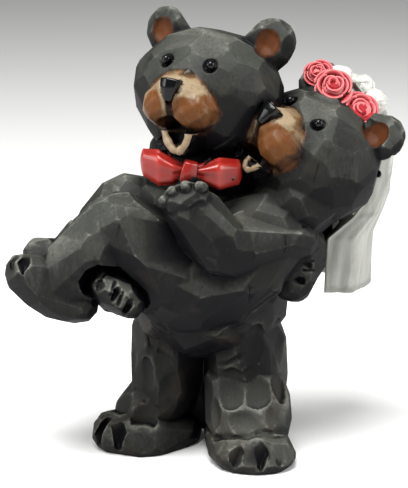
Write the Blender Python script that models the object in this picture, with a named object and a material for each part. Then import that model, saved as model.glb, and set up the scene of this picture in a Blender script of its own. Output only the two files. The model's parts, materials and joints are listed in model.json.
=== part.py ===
"""Wedding bear figurine: a groom bear carries his bride, cast in one piece of resin.

The bears look whittled: every limb is a block cut flat by a knife, and the blocks run into
each other at sharp creases. The front, -Y, is the side on which both faces show; +Z is up,
and +X is the viewer's right, where the bride's head is.

Lengths are shares of the figurine's height. One unit, U, is 1 mm at the real height.
"""

import math
from typing import NamedTuple

import bmesh
import bpy
from mathutils import Matrix, Vector

HEIGHT = 0.160  # from the floor to the top of the groom's higher ear
U = HEIGHT / 160

KNIFE_WANDER = 0.035  # how far the knife strays in from the round form, as a share of its radius
GOLDEN_ANGLE = math.pi * (3 - math.sqrt(5))

FUR = "charcoal fur"
TAN = "tan muzzle"
BLACK = "gloss black"
RED = "red satin"
WHITE = "white veil"
PINK = "pink rose"
RUST = "rust inner ear"
PAINTS = {
    # name: (red, green, blue), roughness
    FUR: ((0.050, 0.050, 0.050), 0.62),
    TAN: ((0.45, 0.24, 0.10), 0.50),
    BLACK: ((0.006, 0.007, 0.008), 0.12),
    RED: ((0.55, 0.015, 0.010), 0.25),
    WHITE: ((0.60, 0.61, 0.57), 0.70),
    PINK: ((0.75, 0.09, 0.12), 0.45),
    RUST: ((0.30, 0.09, 0.03), 0.55),
}

GROOM_HEAD_AT = (1.4, -3.0, 132.1)
GROOM_HEAD_TURN = (-24.7, 8.0)  # degrees: to the viewer's left, then tipped towards the bride
BRIDE_HEAD_AT = (39.9, -4.0, 109.0)
BRIDE_HEAD_TURN = (-44.0, 41.0)
HEAD_NOD = -9.5  # degrees: both faces look a little upwards

NO_TURN = Matrix.Identity(3)


class Ball(NamedTuple):
    """An ellipsoid that a block is whittled round."""

    centre: Vector
    radii: tuple
    turn: Matrix = NO_TURN


def ball(centre, radii, turn=NO_TURN):
    """A Ball in units; radii is one number or three."""
    if not hasattr(radii, "__len__"):
        radii = (radii,) * 3
    return Ball(Vector(centre) * U, tuple(r * U for r in radii), turn)


class Frame(NamedTuple):
    """A place and a turn, so that a head is written once and set on each neck."""

    centre: Vector
    turn: Matrix

    def ball(self, centre, radii, turn=NO_TURN):
        """A ball given by (to the bear's left, forward, up) from the middle of the skull."""
        left, forward, up = centre
        local = Vector((left, -forward, up)) * U
        made = ball((0, 0, 0), radii, self.turn @ turn)
        return made._replace(centre=self.centre + self.turn @ local)


def head_frame(at, turn_and_tilt):
    """The frame of a head: turned about the upright, tipped sideways, then nodded."""
    turn, tilt = (math.radians(angle) for angle in turn_and_tilt)
    nod = math.radians(HEAD_NOD)
    spin = Matrix.Rotation(nod, 3, "X") @ Matrix.Rotation(tilt, 3, "Y") @ Matrix.Rotation(turn, 3, "Z")
    return Frame(Vector(at) * U, spin)


def paint(name):
    """The material of that name, made once."""
    material = bpy.data.materials.get(name)
    if material is None:
        colour, roughness = PAINTS[name]
        material = bpy.data.materials.new(name)
        material.use_nodes = True
        material.diffuse_color = (*colour, 1)
        shader = material.node_tree.nodes["Principled BSDF"]
        shader.inputs["Base Color"].default_value = (*colour, 1)
        shader.inputs["Roughness"].default_value = roughness
        shader.inputs["Metallic"].default_value = 0
    return material


def reach(balls, direction):
    """How far the balls' common skin reaches from the origin along a unit direction."""
    def one(b):
        across = b.turn.transposed() @ direction
        return b.centre.dot(direction) + Vector(r * a for r, a in zip(b.radii, across)).length
    return max(one(b) for b in balls)


def knife_cuts(balls, count, start):
    """A point and an outward direction for each flat cut, spread evenly round the form."""
    least = min(min(b.radii) for b in balls)
    for i in range(count):
        height = 1 - (2 * i + 1) / count
        angle = i * GOLDEN_ANGLE + start
        ring = math.sqrt(1 - height * height)
        direction = Vector((ring * math.cos(angle), ring * math.sin(angle), height))
        stray = KNIFE_WANDER * least * (1 + math.sin(5.3 * i + 2.1 * start)) / 2
        yield direction * (reach(balls, direction) - stray), direction


def whittled(balls, cuts, start=0.0):
    """A closed mesh: a cube cut flat on every side until it fits round the balls."""
    axes = [Vector(axis) for axis in ((1, 0, 0), (0, 1, 0), (0, 0, 1))]
    size = 2.2 * max(reach(balls, side * axis) for axis in axes for side in (1, -1))
    mesh = bmesh.new()
    bmesh.ops.create_cube(mesh, size=2 * size)
    for point, direction in knife_cuts(balls, cuts, start):
        everything = mesh.verts[:] + mesh.edges[:] + mesh.faces[:]
        cut = bmesh.ops.bisect_plane(
            mesh, geom=everything, dist=1e-7, plane_co=point, plane_no=direction, clear_outer=True
        )
        rim = [e for e in cut["geom_cut"] if isinstance(e, bmesh.types.BMEdge)]
        if rim:
            bmesh.ops.contextual_create(mesh, geom=rim)
    bmesh.ops.recalc_face_normals(mesh, faces=mesh.faces)
    return mesh


class Bench:
    """The carver's bench: boxes of blocks, in the order in which they are used."""

    STEPS = (("carved", "UNION"), ("hollows", "DIFFERENCE"), ("set_in", "UNION"), ("nicks", "DIFFERENCE"))

    def __init__(self):
        self.boxes = {}
        for name, _ in self.STEPS:
            self.boxes[name] = bpy.data.collections.new(name)
            bpy.context.scene.collection.children.link(self.boxes[name])

    def add(self, box, name, mesh, colour):
        """Puts a bmesh in a box as a guide object."""
        data = bpy.data.meshes.new(name)
        mesh.to_mesh(data)
        mesh.free()
        data.materials.append(paint(colour))
        guide = bpy.data.objects.new(name, data)
        guide.hide_render = True
        guide.display_type = "WIRE"
        self.boxes[box].objects.link(guide)

    def carve(self, name, balls, cuts=30, start=0.0, colour=FUR):
        """A block that belongs to the bodies."""
        self.add("carved", name, whittled(balls, cuts, start), colour)

    def hollow(self, name, balls, cuts=20, start=0.0, colour=FUR):
        """A block that is taken out of the bodies."""
        self.add("hollows", name, whittled(balls, cuts, start), colour)

    def set_in(self, name, balls, cuts=20, start=0.0, colour=BLACK):
        """A block that fills part of a hollow, or stands on the finished fur."""
        self.add("set_in", name, whittled(balls, cuts, start), colour)

    def nick(self, name, balls, cuts=20, start=0.0, colour=FUR):
        """A last cut, through what was set in."""
        self.add("nicks", name, whittled(balls, cuts, start), colour)


EYE_RADIUS = 1.9
EYE_APART = 8.3
EYE_SHIFT = 0.8  # both pairs of eyes sit a little to the bear's own left
EAR_RADIUS = 8.3
EAR_THICKNESS = 6.6
NOSE_WIDTH = 7.4
LIP_THICKNESS = 1.3
JAW_HALF_WIDTH = 6.1


class Bear(NamedTuple):
    """What tells the two heads apart."""

    name: str
    frame: Frame
    mouth: tuple  # how far up its top, its widest place and its bottom are
    ears: tuple  # (to the left, up) of the right ear, then of the left one
    snout: tuple = (0, 0, 0)  # how far the snout sits off the middle of the face

    def snout_ball(self, centre, radii):
        """A ball of the snout, jaw or nose."""
        return self.frame.ball(tuple(c + s for c, s in zip(centre, self.snout)), radii)


GROOM_EARS = ((-19.8, 18.6), (21.3, 18.6))
BRIDE_EARS = ((-22, 20.2), (16.6, 18.6))
GROOM = Bear("groom", head_frame(GROOM_HEAD_AT, GROOM_HEAD_TURN), (-12.2, -16.6, -21.4), GROOM_EARS)
BRIDE = Bear("bride", head_frame(BRIDE_HEAD_AT, BRIDE_HEAD_TURN), (-15.2, -17.2, -19.0), BRIDE_EARS, (-1.3, 1.3, 0.9))


def carve_head(bench, bear):
    """Skull, muzzle, mouth, nose, eyes and ears, all in the head's own frame."""
    b = bear.frame.ball
    skull = b((0, 0, -0.5), (27, 23, 21.3))
    jowls = b((0, 4, -14), (18, 15, 10.5))
    bench.carve(f"{bear.name}_skull", [skull, jowls], 84, 0.4)
    carve_muzzle(bench, bear)
    carve_mouth(bench, bear)
    half = NOSE_WIDTH / 2 - 1.1
    n = bear.snout_ball
    nose = [
        n((-half, 29.4, 0.4), 1.4),
        n((half, 29.4, 0.4), 1.4),
        n((-half, 30.8, -1.8), 1.3),
        n((half, 30.8, -1.8), 1.3),
        n((0, 29.6, -5.6), 1.2),
    ]
    bench.set_in(f"{bear.name}_nose", nose, 40, 0.9)
    for side in (-1, 1):
        across, forward, up = side * EYE_APART + EYE_SHIFT, 20.3, 7.4
        socket = EYE_RADIUS * 1.35
        bench.hollow(f"{bear.name}_socket_{side}", [b((across, forward + 1.3, up), socket)], 26)
        bench.set_in(f"{bear.name}_eye_{side}", [b((across, forward, up), EYE_RADIUS)], 34)
        carve_ear(bench, bear, side, *bear.ears[side > 0])


def carve_muzzle(bench, bear):
    """A broad snout with a lip lobe on each side."""
    b = bear.snout_ball
    snout = [
        b((0, 15, -6.2), (13.4, 9, 11.2)),
        b((0, 14, -2.6), (11, 9, 9)),
        b((0, 25.3, -4.4), (7.4, 5.5, 6.4)),
    ]
    bench.carve(f"{bear.name}_muzzle", snout, 48, 1.1, TAN)
    for side in (-1, 1):
        lip = [b((side * 5.8, 22.3, -7.9), (6.5, 7, 6.8)), b((side * 5.3, 14, -7), (8, 6, 8))]
        bench.carve(f"{bear.name}_lip_{side}", lip, 34, side + 2, TAN)


def carve_mouth(bench, bear):
    """A lower jaw hung under the lips, and the laughing gap between them."""
    b = bear.snout_ball
    top, widest, bottom = bear.mouth
    chin = [b((0, 20, bottom + 1.2), (JAW_HALF_WIDTH, 6.8, 3.8)), b((0, 8, bottom + 4), (6.4, 7, 6))]
    bench.carve(f"{bear.name}_jaw", chin, 36, 0.7, TAN)
    gape = JAW_HALF_WIDTH - 1.2 - LIP_THICKNESS
    mouth = [
        b((0, 31, top), 0.6),
        b((0, 16, top), 0.6),
        b((-gape * 0.8, 31, top - 1.6), 0.5),
        b((gape, 31, widest), 0.9),
        b((-gape, 31, widest), 0.9),
        b((0, 31, bottom + 0.9), 0.9),
        b((0, 24, bottom + 0.9), 0.9),
        b((gape - 1, 17, widest), 1.8),
        b((1 - gape, 17, widest), 1.8),
    ]
    bench.hollow(f"{bear.name}_mouth", mouth, 32, 0.2, BLACK)
    bench.hollow(f"{bear.name}_philtrum", [b((0, 31, -6), 0.6), b((0, 28.4, -13), 0.8)], 16, 0.3)


def carve_ear(bench, bear, side, left, up):
    """A thick round ear that faces forwards, with a scooped rust-brown inside."""
    b = bear.frame.ball
    lean = Matrix.Rotation(math.radians(side * 14), 3, "Z")
    forward = -1
    leaf = b((left, forward, up), (EAR_RADIUS, EAR_THICKNESS / 2, EAR_RADIUS), lean)
    root = b((left - side * 6.5, forward - 2, up - 7.6), (6.5, 4, 6), lean)
    bench.carve(f"{bear.name}_ear_{side}", [leaf, root], 44, side)
    scoop = (EAR_RADIUS * 0.56, 3.2, EAR_RADIUS * 0.62)
    inside = b((left, forward + 4.7, up - 0.7), scoop, lean)
    bench.hollow(f"{bear.name}_ear_scoop_{side}", [inside], 30, 0.5, RUST)


def carve_groom(bench):
    """The standing bear: trunk, legs, feet and the two arms that hold the bride."""
    chest = ball((0, 3, 87), (26, 19, 20))
    belly = ball((2.5, 1, 57), (28.5, 24, 24))
    bench.carve("groom_trunk", [chest, belly], 76, 0.3)
    bench.carve("groom_neck", [ball((1, 1, 112), (17, 17, 12)), ball((1, 2, 98), (21, 17, 10))], 30, 0.8)
    bench.carve("groom_low_belly", [ball((-1.5, -5, 53), (23, 18.5, 16))], 44, 1.7)
    bench.carve("groom_tail", [ball((4, 24, 42), (5, 6, 4.5))], 24, 0.2)
    carve_groom_legs(bench)
    carve_groom_arms(bench)


def carve_groom_legs(bench):
    """Two stout legs that flare on to flat feet; the left foot points at the viewer."""
    right_leg = [ball((-13, 3, 42), (12.3, 15, 12)), ball((-14, 3, 18), (11.6, 12, 10))]
    bench.carve("groom_right_leg", right_leg, 44, 0.5)
    flare = [ball((-15, 3, 18), (11, 11, 9)), ball((-20, 2, 11), (13, 12, 8))]
    bench.carve("groom_right_flare", flare, 40, 0.1)
    left_leg = [ball((14, 0, 42), (14.4, 16, 12)), ball((14.4, -1, 14), (14, 13, 12))]
    bench.carve("groom_left_leg", left_leg, 48, 2.5)
    right_foot = [
        ball((-10, 2, 4), (9, 12, 6.5)),
        ball((-22, -8, 3), (10, 10.5, 7)),
        ball((-34, -5, 5.5), (7, 10, 7.2)),
    ]
    bench.carve("groom_right_foot", right_foot, 64, 1.3)
    left_foot = [ball((14.5, -3, 5), (14.5, 13, 8)), ball((18, -25.5, 4.2), (14.8, 11, 7.4))]
    bench.carve("groom_left_foot", left_foot, 64, 0.9)
    instep = [ball((14.2, -5, 27), (13.6, 11, 9)), ball((16.6, -17.5, 10.5), (14, 11, 6.4))]
    bench.carve("groom_left_instep", instep, 44, 1.9)
    between = [ball((-0.5, 6, 30), (6, 9, 10)), ball((-0.5, 9, 9.5), (6.5, 7.5, 7.5))]
    bench.carve("groom_between_legs", between, 34, 0.4)
    for across in (10.8, 19.8, 26.8):
        carve_toe_gap(bench, (across, -35.4, 6.3), (0.1 * (across - 18) / 9, -1, 0))
    for across, along in ((-31, -15.5), (-37.5, -11.8), (-40.6, -3.5)):
        carve_toe_gap(bench, (across, along, 6.5), (across + 30, along + 4, 0))


def carve_toe_gap(bench, place, outward, width=0.75, tall=5.5, up=(0, 0, 1)):
    """A knife nick between two toes: deep at the sole, running out on top of the foot."""
    place, up, outward = Vector(place), Vector(up), Vector(outward).normalized()
    corners = (
        place + outward * 2.5 - up * tall * 0.8,
        place + outward * 3.5 + up * tall * 0.4,
        place - outward * 4.0 + up * tall * 1.2,
        place - outward * 1.2 - up * tall * 0.5,
    )
    bench.hollow("toe_gap", [ball(corner, width) for corner in corners], 18, 0.6)


def carve_groom_arms(bench):
    """Right arm under the bride's knees, left arm behind her back, each with a mitten paw."""
    right_arm = [ball((-27, 7, 86), (13, 13, 13)), ball((-39, 10, 74), (10, 10, 10))]
    bench.carve("groom_right_upper_arm", right_arm, 40, 0.6)
    forearm = [ball((-39, 9, 72), (9, 9, 9)), ball((-31, -20, 63), (7.5, 8, 7.5))]
    bench.carve("groom_right_forearm", forearm, 34, 0.2)
    left_arm = [ball((27, 9, 92), (13, 12, 13)), ball((38, 9, 78), (9, 9, 9))]
    bench.carve("groom_left_upper_arm", left_arm, 40, 1.6)
    left_forearm = [ball((37.5, 8.5, 76), (8.5, 8.5, 8.5)), ball((34.5, -9, 72), (6.4, 8, 8.5))]
    bench.carve("groom_left_forearm", left_forearm, 34, 2.2)

    left_paw = [ball((36.5, -13, 77.5), (6.4, 7.2, 7.4)), ball((31.5, -17, 65), (7, 6.8, 6.4))]
    bench.carve("groom_left_paw", left_paw, 44, 0.8)
    for across, up in ((36.2, 73), (33.6, 67.6)):
        gap = [ball((across + side * 2.8, -25 - side * 0.6, up), 0.65) for side in (-1, 1)]
        bench.hollow("finger_gap", gap + [ball((across, -21, up), 0.65)], 16, 0.2)

    well = [ball((-35, -35, 70), (7.4, 10, 6.8)), ball((-25.5, -36, 63), (7, 10, 7))]
    bench.hollow("thigh_well", well, 40, 0.5)
    right_paw = [ball((-34.2, -29, 68.3), (5, 8, 5.6)), ball((-25.5, -30, 62), (5, 8, 5.4))]
    bench.set_in("groom_right_paw", right_paw, 44, 0.8, FUR)
    for across, up in ((-35.4, 69.4), (-30.2, 66.8), (-26.4, 61.8)):
        gap = [ball((across + side * 1.2, -38, up + side * 2.9), 0.45) for side in (-1, 1)]
        bench.nick("finger_gap", gap + [ball((across, -34.4, up), 0.45)], 16, 0.2)


def carve_bride(bench):
    """The bride lies across: hips low in the middle, shoulders and head to the viewer's right."""
    hips = ball((-4.5, -19, 65.5), (20, 17.5, 17))
    chest = ball((23, -16, 83), (16, 15, 16))
    bench.carve("bride_trunk", [hips, chest], 60, 0.7)
    neck = [ball((30, -12, 91), (15, 14, 12)), ball((40, -8, 101), (17, 17, 14))]
    bench.carve("bride_neck", neck, 40, 1.9)
    knee = ball((-29.6, -24, 86), (13.5, 12, 13))
    bench.carve("bride_near_thigh", [ball((-11, -22, 70), (15, 14, 15)), knee], 48, 2.9)
    shin = [ball((-33, -24, 84), (12, 11.5, 12)), ball((-47, -26, 68), (11, 10, 10.5))]
    bench.carve("bride_near_shin", shin, 44, 1.2)
    foot = [ball((-44, -26, 60.6), (7.4, 9, 7.4)), ball((-62, -27, 71), (6.6, 8.5, 7.6))]
    bench.carve("bride_near_foot", foot, 48, 0.4)
    for along, up in ((-61.5, 73.8), (-66, 75)):
        carve_toe_gap(bench, (along, -34 - 0.5 * (along + 61), up + 2), (-0.35, -1, 0.1), 0.5, 3)
    far_thigh = [ball((-12, -8, 74), (13, 11, 12)), ball((-34, -8, 83), (11, 10, 11))]
    bench.carve("bride_far_thigh", far_thigh, 36, 0.8)
    far_shin = [ball((-38, -8, 80), (10, 9, 10)), ball((-48, -8, 70), (9, 8.5, 9))]
    bench.carve("bride_far_shin", far_shin, 36, 0.9)
    far_foot = [ball((-44, -8, 65), (7.5, 8, 7)), ball((-58, -8, 72.6), (6.2, 7.5, 6.6))]
    bench.carve("bride_far_foot", far_foot, 36, 1.4)
    carve_bride_arms(bench)


def carve_bride_arms(bench):
    """Near arm bent up to the groom's chest, far arm round the back of his neck."""
    elbow = ball((6, -33, 81.5), (10, 8, 9.5))
    bench.carve("bride_near_upper_arm", [ball((32, -20, 82), (8, 9, 7.5)), elbow], 48, 0.5)
    bench.carve("bride_near_forearm", [elbow, ball((-6, -34, 97.5), (8, 6.5, 7))], 48, 1.5)
    paw = [ball((-4, -35, 99.5), (6.5, 6, 5.6)), ball((-9.5, -36, 98.5), (5, 5, 5))]
    bench.carve("bride_near_paw", paw, 40, 0.3)
    for across, up in ((-13.4, 99.4), (-10.6, 102.6), (-6.4, 104.4), (-1.6, 104.2)):
        bench.carve("bride_claw", [ball((across, -38.5, up), 1.9), ball((across + 1, -36, up - 2), 1.9)], 22)
    far = [ball((28, 6, 100), (9, 9, 9)), ball((8, 19, 104), (8, 7, 8))]
    bench.carve("bride_far_arm", far, 36, 0.4)
    far_paw = [ball((6, 20, 103), (8, 6, 7)), ball((-6, 20, 101), (7, 5, 6.5))]
    bench.carve("bride_far_paw", far_paw, 34, 0.4)


def carve_bow(bench):
    """The groom's bow tie: two swelling wings pinched by a knot."""
    left = [
        ball((-20.4, -24, 110.2), (1.9, 3, 4.2)),
        ball((-13.5, -27, 108.2), (4, 4.4, 6.4)),
        ball((-8, -29, 107.6), (2.5, 3.6, 4)),
    ]
    right = [
        ball((-2, -29.5, 107.4), (2.5, 3.6, 3.6)),
        ball((5, -26.5, 106.6), (4.4, 4.4, 5.6)),
        ball((11.5, -21.5, 106.2), (1.9, 3, 3.4)),
    ]
    bench.carve("bow_left", left, 40, 0.3, RED)
    bench.carve("bow_right", right, 40, 0.9, RED)
    bench.carve("bow_knot", [ball((-5.1, -30.6, 107.8), (3.2, 3.2, 4.2))], 32, 0.5, RED)


ROSES = (((40.2, 1, 136.8), 5.8), ((45, -6.5, 133.2), 6.4), ((54.7, -8, 125.3), 6.3))  # centre, radius


def carve_roses(bench):
    """Three roses in a row across the crown, on a ridge of fur that carries them."""
    ridge = [ball(Vector(centre) + Vector((-1.5, 4, -4.5)), 5) for centre, _ in ROSES]
    bench.carve("rose_ridge", ridge, 40, 0.3)
    for centre, radius in ROSES:
        carve_rose(bench, centre, radius)


def carve_rose(bench, centre, radius, petals=5):
    """A bud with a ring of petals round it, opening away from the bride's head."""
    centre = Vector(centre)
    outward = (centre * U - BRIDE.frame.centre).normalized()
    turn = outward.to_track_quat("Z", "Y").to_matrix()
    bench.carve("rose_bud", [ball(centre + outward * radius * 0.28, radius * 0.5)], 26, 0.2, PINK)
    for i in range(petals):
        angle = 2 * math.pi * i / petals + radius
        out = turn @ Vector((math.cos(angle), math.sin(angle), 0))
        petal = turn @ Matrix.Rotation(angle, 3, "Z")
        body = ball(centre + out * radius * 0.5, (radius * 0.45, radius * 0.5, radius * 0.46), petal)
        bench.carve("rose_petal", [body], 22, i, PINK)


VEIL_THICKNESS = 4.5
VEIL_AXIS = Vector((45, 10, 0))  # the sheet wraps round an upright through here
VEIL_ROWS = (
    # height of the row, then (x, y) from the near edge, over the right side, to the far edge
    (133, (53, 1), (57, 4), (58, 9), (54, 13), (48, 15), (42, 15)),
    (122, (61.5, 4), (64.8, 7), (65, 11), (61, 17), (52, 21), (40, 22)),
    (110, (62.5, -1), (68, 6), (67.5, 12), (62, 20), (51, 24), (38, 25)),
    (100, (59.5, -6), (66.5, 2), (67, 12), (60, 22), (49, 27), (36, 28)),
    (93, (57, -8), (64, -1), (66.5, 9), (60, 21), (48.5, 27.5), (35, 29)),
    (87, (52.5, -9), (61, -4), (64.5, 8), (59.5, 20), (48, 28), (34, 30)),
    (79, (43.5, -8), (55, -6.5), (61, 5), (60, 18), (50, 28), (35, 31)),
    (58.3, (43, -6), (53, -6), (60, 4), (61, 16), (52, 28), (37, 32)),
)
PLEAT_DEPTH = 0.9


def veil_outline(row):
    """One row of the veil, from edge to edge, with a fold between every two given points."""
    height, *plan = row
    points = []
    for (x0, y0), (x1, y1) in zip(plan, plan[1:]):
        points += [Vector((x0, y0, height)), Vector(((x0 + x1) / 2, (y0 + y1) / 2, height))]
    points.append(Vector((*plan[-1], height)))
    for i, point in enumerate(points):
        point += inward(point) * (PLEAT_DEPTH if i % 2 else 0)
    return points


def carve_veil(bench):
    """A thin pleated sheet from the crown down behind her back, gathered under the roses."""
    for centre, radii in (((48, 8, 134), (5, 5, 4)), ((55, 8, 130.5), (5.5, 5, 4.5)), ((60.2, 5.6, 125.6), (4.6, 4.6, 4.5))):
        bench.set_in("veil_gather", [ball(centre, radii)], 30, centre[0], WHITE)
    bench.add("hollows", "veil_clearance", veil_slab(VEIL_ROWS[2:-1], veil_room, VEIL_THICKNESS * 0.6), FUR)
    bench.add("set_in", "veil_sheet", veil_slab(VEIL_ROWS, lambda point, column: point), WHITE)


def inward(point):
    """The level direction from a point to the upright that the veil wraps round."""
    return ((VEIL_AXIS - point) * Vector((1, 1, 0))).normalized()


def veil_room(point, column):
    """A point in front of the veil: the space to keep clear of fur, widest towards the viewer."""
    sideways = min(1, column / 4)
    forwards = max(0, 1 - column / 6)
    return point - inward(point) * 7 * sideways + Vector((0, -14, 0)) * forwards


def veil_slab(rows, outer, thickness=VEIL_THICKNESS):
    """The sheet's inner face, joined to an outer face that a function makes from its skin."""
    mesh = bmesh.new()
    loops = []
    for row in rows:
        skin = veil_outline(row)
        outside = [outer(point, column) for column, point in enumerate(skin)]
        inside = [point + inward(point) * thickness for point in skin]
        loops.append([mesh.verts.new(point * U) for point in outside + inside[::-1]])
    for upper, lower in zip(loops, loops[1:]):
        for i in range(len(upper)):
            j = (i + 1) % len(upper)
            mesh.faces.new((upper[i], upper[j], lower[j], lower[i]))
    columns = len(loops[0]) // 2
    for loop in (loops[0], loops[-1]):
        for i in range(columns - 1):
            mesh.faces.new((loop[i], loop[i + 1], loop[-2 - i], loop[-1 - i]))
    bmesh.ops.recalc_face_normals(mesh, faces=mesh.faces)
    return mesh


def join_casting(bench):
    """The blocks of each box in turn, joined to or taken from one body."""
    core = whittled([ball((0, 3, 80), (15, 10, 20))], 20)
    data = bpy.data.meshes.new("bear_couple")
    core.to_mesh(data)
    core.free()
    data.materials.append(paint(FUR))
    casting = bpy.data.objects.new("bear_couple", data)
    bpy.context.scene.collection.objects.link(casting)
    for box, operation in Bench.STEPS:
        boolean = casting.modifiers.new(box, "BOOLEAN")
        boolean.operation = operation
        boolean.solver = "EXACT"
        boolean.material_mode = "TRANSFER"
        boolean.operand_type = "COLLECTION"
        boolean.collection = bench.boxes[box]
    return casting


def fix_shape(casting):
    """Applies the joins, and fills the pockets that neighbouring blocks shut in."""
    graph = bpy.context.evaluated_depsgraph_get()
    data = bpy.data.meshes.new_from_object(casting.evaluated_get(graph))
    casting.modifiers.clear()
    casting.data = data
    data.name = casting.name
    mesh = bmesh.new()
    mesh.from_mesh(data)
    bmesh.ops.dissolve_degenerate(mesh, edges=mesh.edges, dist=0.02 * U)
    for island in islands(mesh):
        if sum(face.calc_area() * face.normal.dot(face.calc_center_median()) for face in island) < 0:
            bmesh.ops.delete(mesh, geom=list(island), context="FACES")
    mesh.to_mesh(data)
    mesh.free()


def islands(mesh):
    """The faces of each separate shell."""
    left = set(mesh.faces)
    shells = []
    while left:
        front = [left.pop()]
        shell = set(front)
        while front:
            near = {face for vert in front.pop().verts for face in vert.link_faces} & left
            left -= near
            shell |= near
            front += near
        shells.append(shell)
    return shells


def stand_on_floor(casting):
    """Puts the middle of the casting's underside at the origin."""
    low = Vector(min(vert.co[i] for vert in casting.data.vertices) for i in range(3))
    high = Vector(max(vert.co[i] for vert in casting.data.vertices) for i in range(3))
    middle = (low + high) / 2
    shift = Vector((-middle.x, -middle.y, -low.z))
    casting.data.transform(Matrix.Translation(shift))


def main():
    """Clears the scene, carves every block, and joins them into the one casting."""
    for old in list(bpy.data.objects):
        bpy.data.objects.remove(old)
    bench = Bench()
    for bear in (GROOM, BRIDE):
        carve_head(bench, bear)
    carve_groom(bench)
    carve_bride(bench)
    carve_bow(bench)
    carve_roses(bench)
    carve_veil(bench)
    floor = bmesh.new()
    bmesh.ops.create_cube(floor, size=400 * U, matrix=Matrix.Translation((0, 0, -200 * U)))
    bench.add("nicks", "floor", floor, FUR)
    casting = join_casting(bench)
    fix_shape(casting)
    stand_on_floor(casting)
    for guides in bench.boxes.values():
        for guide in list(guides.objects):
            bpy.data.objects.remove(guide)


main()
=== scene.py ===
"""Wedding bear figurine: the fine carving and the painted finish of one resin casting.

A groom bear carries his bride. The casting is cut finer than the solid it starts from, with
gouges, wood cracks and worn ridges, and is painted in charcoal, tan, rust and off-white. The
parts that the carver finished smoothly are made one by one: bow tie, roses, lower lips, noses,
eyes and veil. Lengths are millimetres in the carver's own frame, which MOVED takes to the row's.
"""

from __future__ import annotations

import json
import logging
import math
from dataclasses import dataclass
from enum import Enum
from typing import Callable, Iterable, Sequence

import bmesh
import bpy
import numpy as np
from mathutils import Matrix, Vector, noise
from mathutils.bvhtree import BVHTree
from mathutils.kdtree import KDTree

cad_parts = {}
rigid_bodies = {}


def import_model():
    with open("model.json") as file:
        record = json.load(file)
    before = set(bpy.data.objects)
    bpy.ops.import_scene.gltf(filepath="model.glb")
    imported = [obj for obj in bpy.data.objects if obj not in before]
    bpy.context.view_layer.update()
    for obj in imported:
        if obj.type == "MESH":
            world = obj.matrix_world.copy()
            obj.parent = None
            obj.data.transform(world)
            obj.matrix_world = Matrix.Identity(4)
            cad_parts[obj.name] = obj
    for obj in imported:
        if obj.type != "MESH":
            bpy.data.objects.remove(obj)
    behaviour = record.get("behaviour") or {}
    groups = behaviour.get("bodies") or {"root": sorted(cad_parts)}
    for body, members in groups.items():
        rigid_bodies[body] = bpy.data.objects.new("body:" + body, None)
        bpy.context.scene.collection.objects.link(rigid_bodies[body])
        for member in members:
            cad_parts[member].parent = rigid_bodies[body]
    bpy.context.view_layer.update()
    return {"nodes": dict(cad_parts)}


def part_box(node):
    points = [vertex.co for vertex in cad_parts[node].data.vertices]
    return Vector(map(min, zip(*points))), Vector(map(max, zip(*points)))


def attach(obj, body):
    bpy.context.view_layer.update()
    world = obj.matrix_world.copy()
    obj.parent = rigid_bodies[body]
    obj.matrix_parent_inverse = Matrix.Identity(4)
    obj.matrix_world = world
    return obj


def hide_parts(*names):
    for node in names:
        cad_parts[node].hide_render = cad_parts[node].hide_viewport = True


LOG = logging.getLogger("wedding_bears")
MM = 0.001
MOVED = Vector((-0.365, 5.6076, 0.0))
Vec = Sequence[float]
Colour = Vec | bpy.types.NodeSocket


# The heads


@dataclass(frozen=True)
class Bear:
    """Where a head sits, how it is turned, and how its face differs from the other's.

    Attributes:
        name: Whose head.
        at: The middle of the skull.
        turn: The turn about the upright axis, in degrees.
        tilt: The lean to the viewer's right, in degrees.
        mouth: How far up the mouth's top, widest place and bottom are.
        ears: The bear's right and left ear, each to the left and up.
        snout: How far the snout sits to the left, forward and up of the middle of the face.
        chin: The share of its width that the jaw keeps at the chin, and the chin's shift to the left.
        nod: The lean forward, in degrees; below zero it tips the face up.
    """

    name: str
    at: tuple[float, float, float]
    turn: float
    tilt: float
    mouth: tuple[float, float, float]
    ears: tuple[tuple[float, float], tuple[float, float]]
    snout: tuple[float, float, float] = (0.0, 0.0, 0.0)
    chin: tuple[float, float] = (0.72, -1.2)
    nod: float = -9.5

    def matrix(self) -> Matrix:
        """The turn of the head's own frame."""
        nod = Matrix.Rotation(math.radians(self.nod), 3, "X")
        tilt = Matrix.Rotation(math.radians(self.tilt), 3, "Y")
        return nod @ tilt @ Matrix.Rotation(math.radians(self.turn), 3, "Z")

    def place(self, left: float, forward: float, up: float) -> Vector:
        """A point of the head, in millimetres.

        Args:
            left: Towards the bear's own left ear.
            forward: Out of the face.
            up: Towards the crown.

        Returns:
            The point in the carver's frame.
        """
        return Vector(self.at) + self.matrix() @ Vector((left, -forward, up))

    def snout_place(self, left: float, forward: float, up: float) -> Vector:
        """A point of the snout, which sits a little off the middle of the face."""
        return self.place(left + self.snout[0], forward + self.snout[1], up + self.snout[2])

    def local(self, points: np.ndarray) -> np.ndarray:
        """Points as (left, forward, up) from the middle of the skull.

        Args:
            points: Rows of x, y, z in the carver's frame.

        Returns:
            Rows of left, forward, up.
        """
        own = (points - np.array(self.at)) @ np.array(self.matrix())
        return own * (1, -1, 1)

    def jaw(self, snout: np.ndarray) -> tuple[np.ndarray, np.ndarray]:
        """How the lower jaw narrows to its chin.

        Args:
            snout: Points as (left, forward, up) from the middle of the snout.

        Returns:
            What each point's place to the left is multiplied by, and what is added to it.
        """
        _, widest, bottom = self.mouth
        rise = np.clip((snout[:, 2] - bottom) / (widest - bottom), 0, 1)
        weight = np.clip((widest + 2.5 - snout[:, 2]) / 2, 0, 1) * np.clip((snout[:, 1] - 12) / 4, 0, 1)
        narrow, shift = self.chin
        return 1 + weight * (narrow - 1) * (1 - rise), weight * (shift * (1 - rise) + 0.4 * rise)


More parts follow.
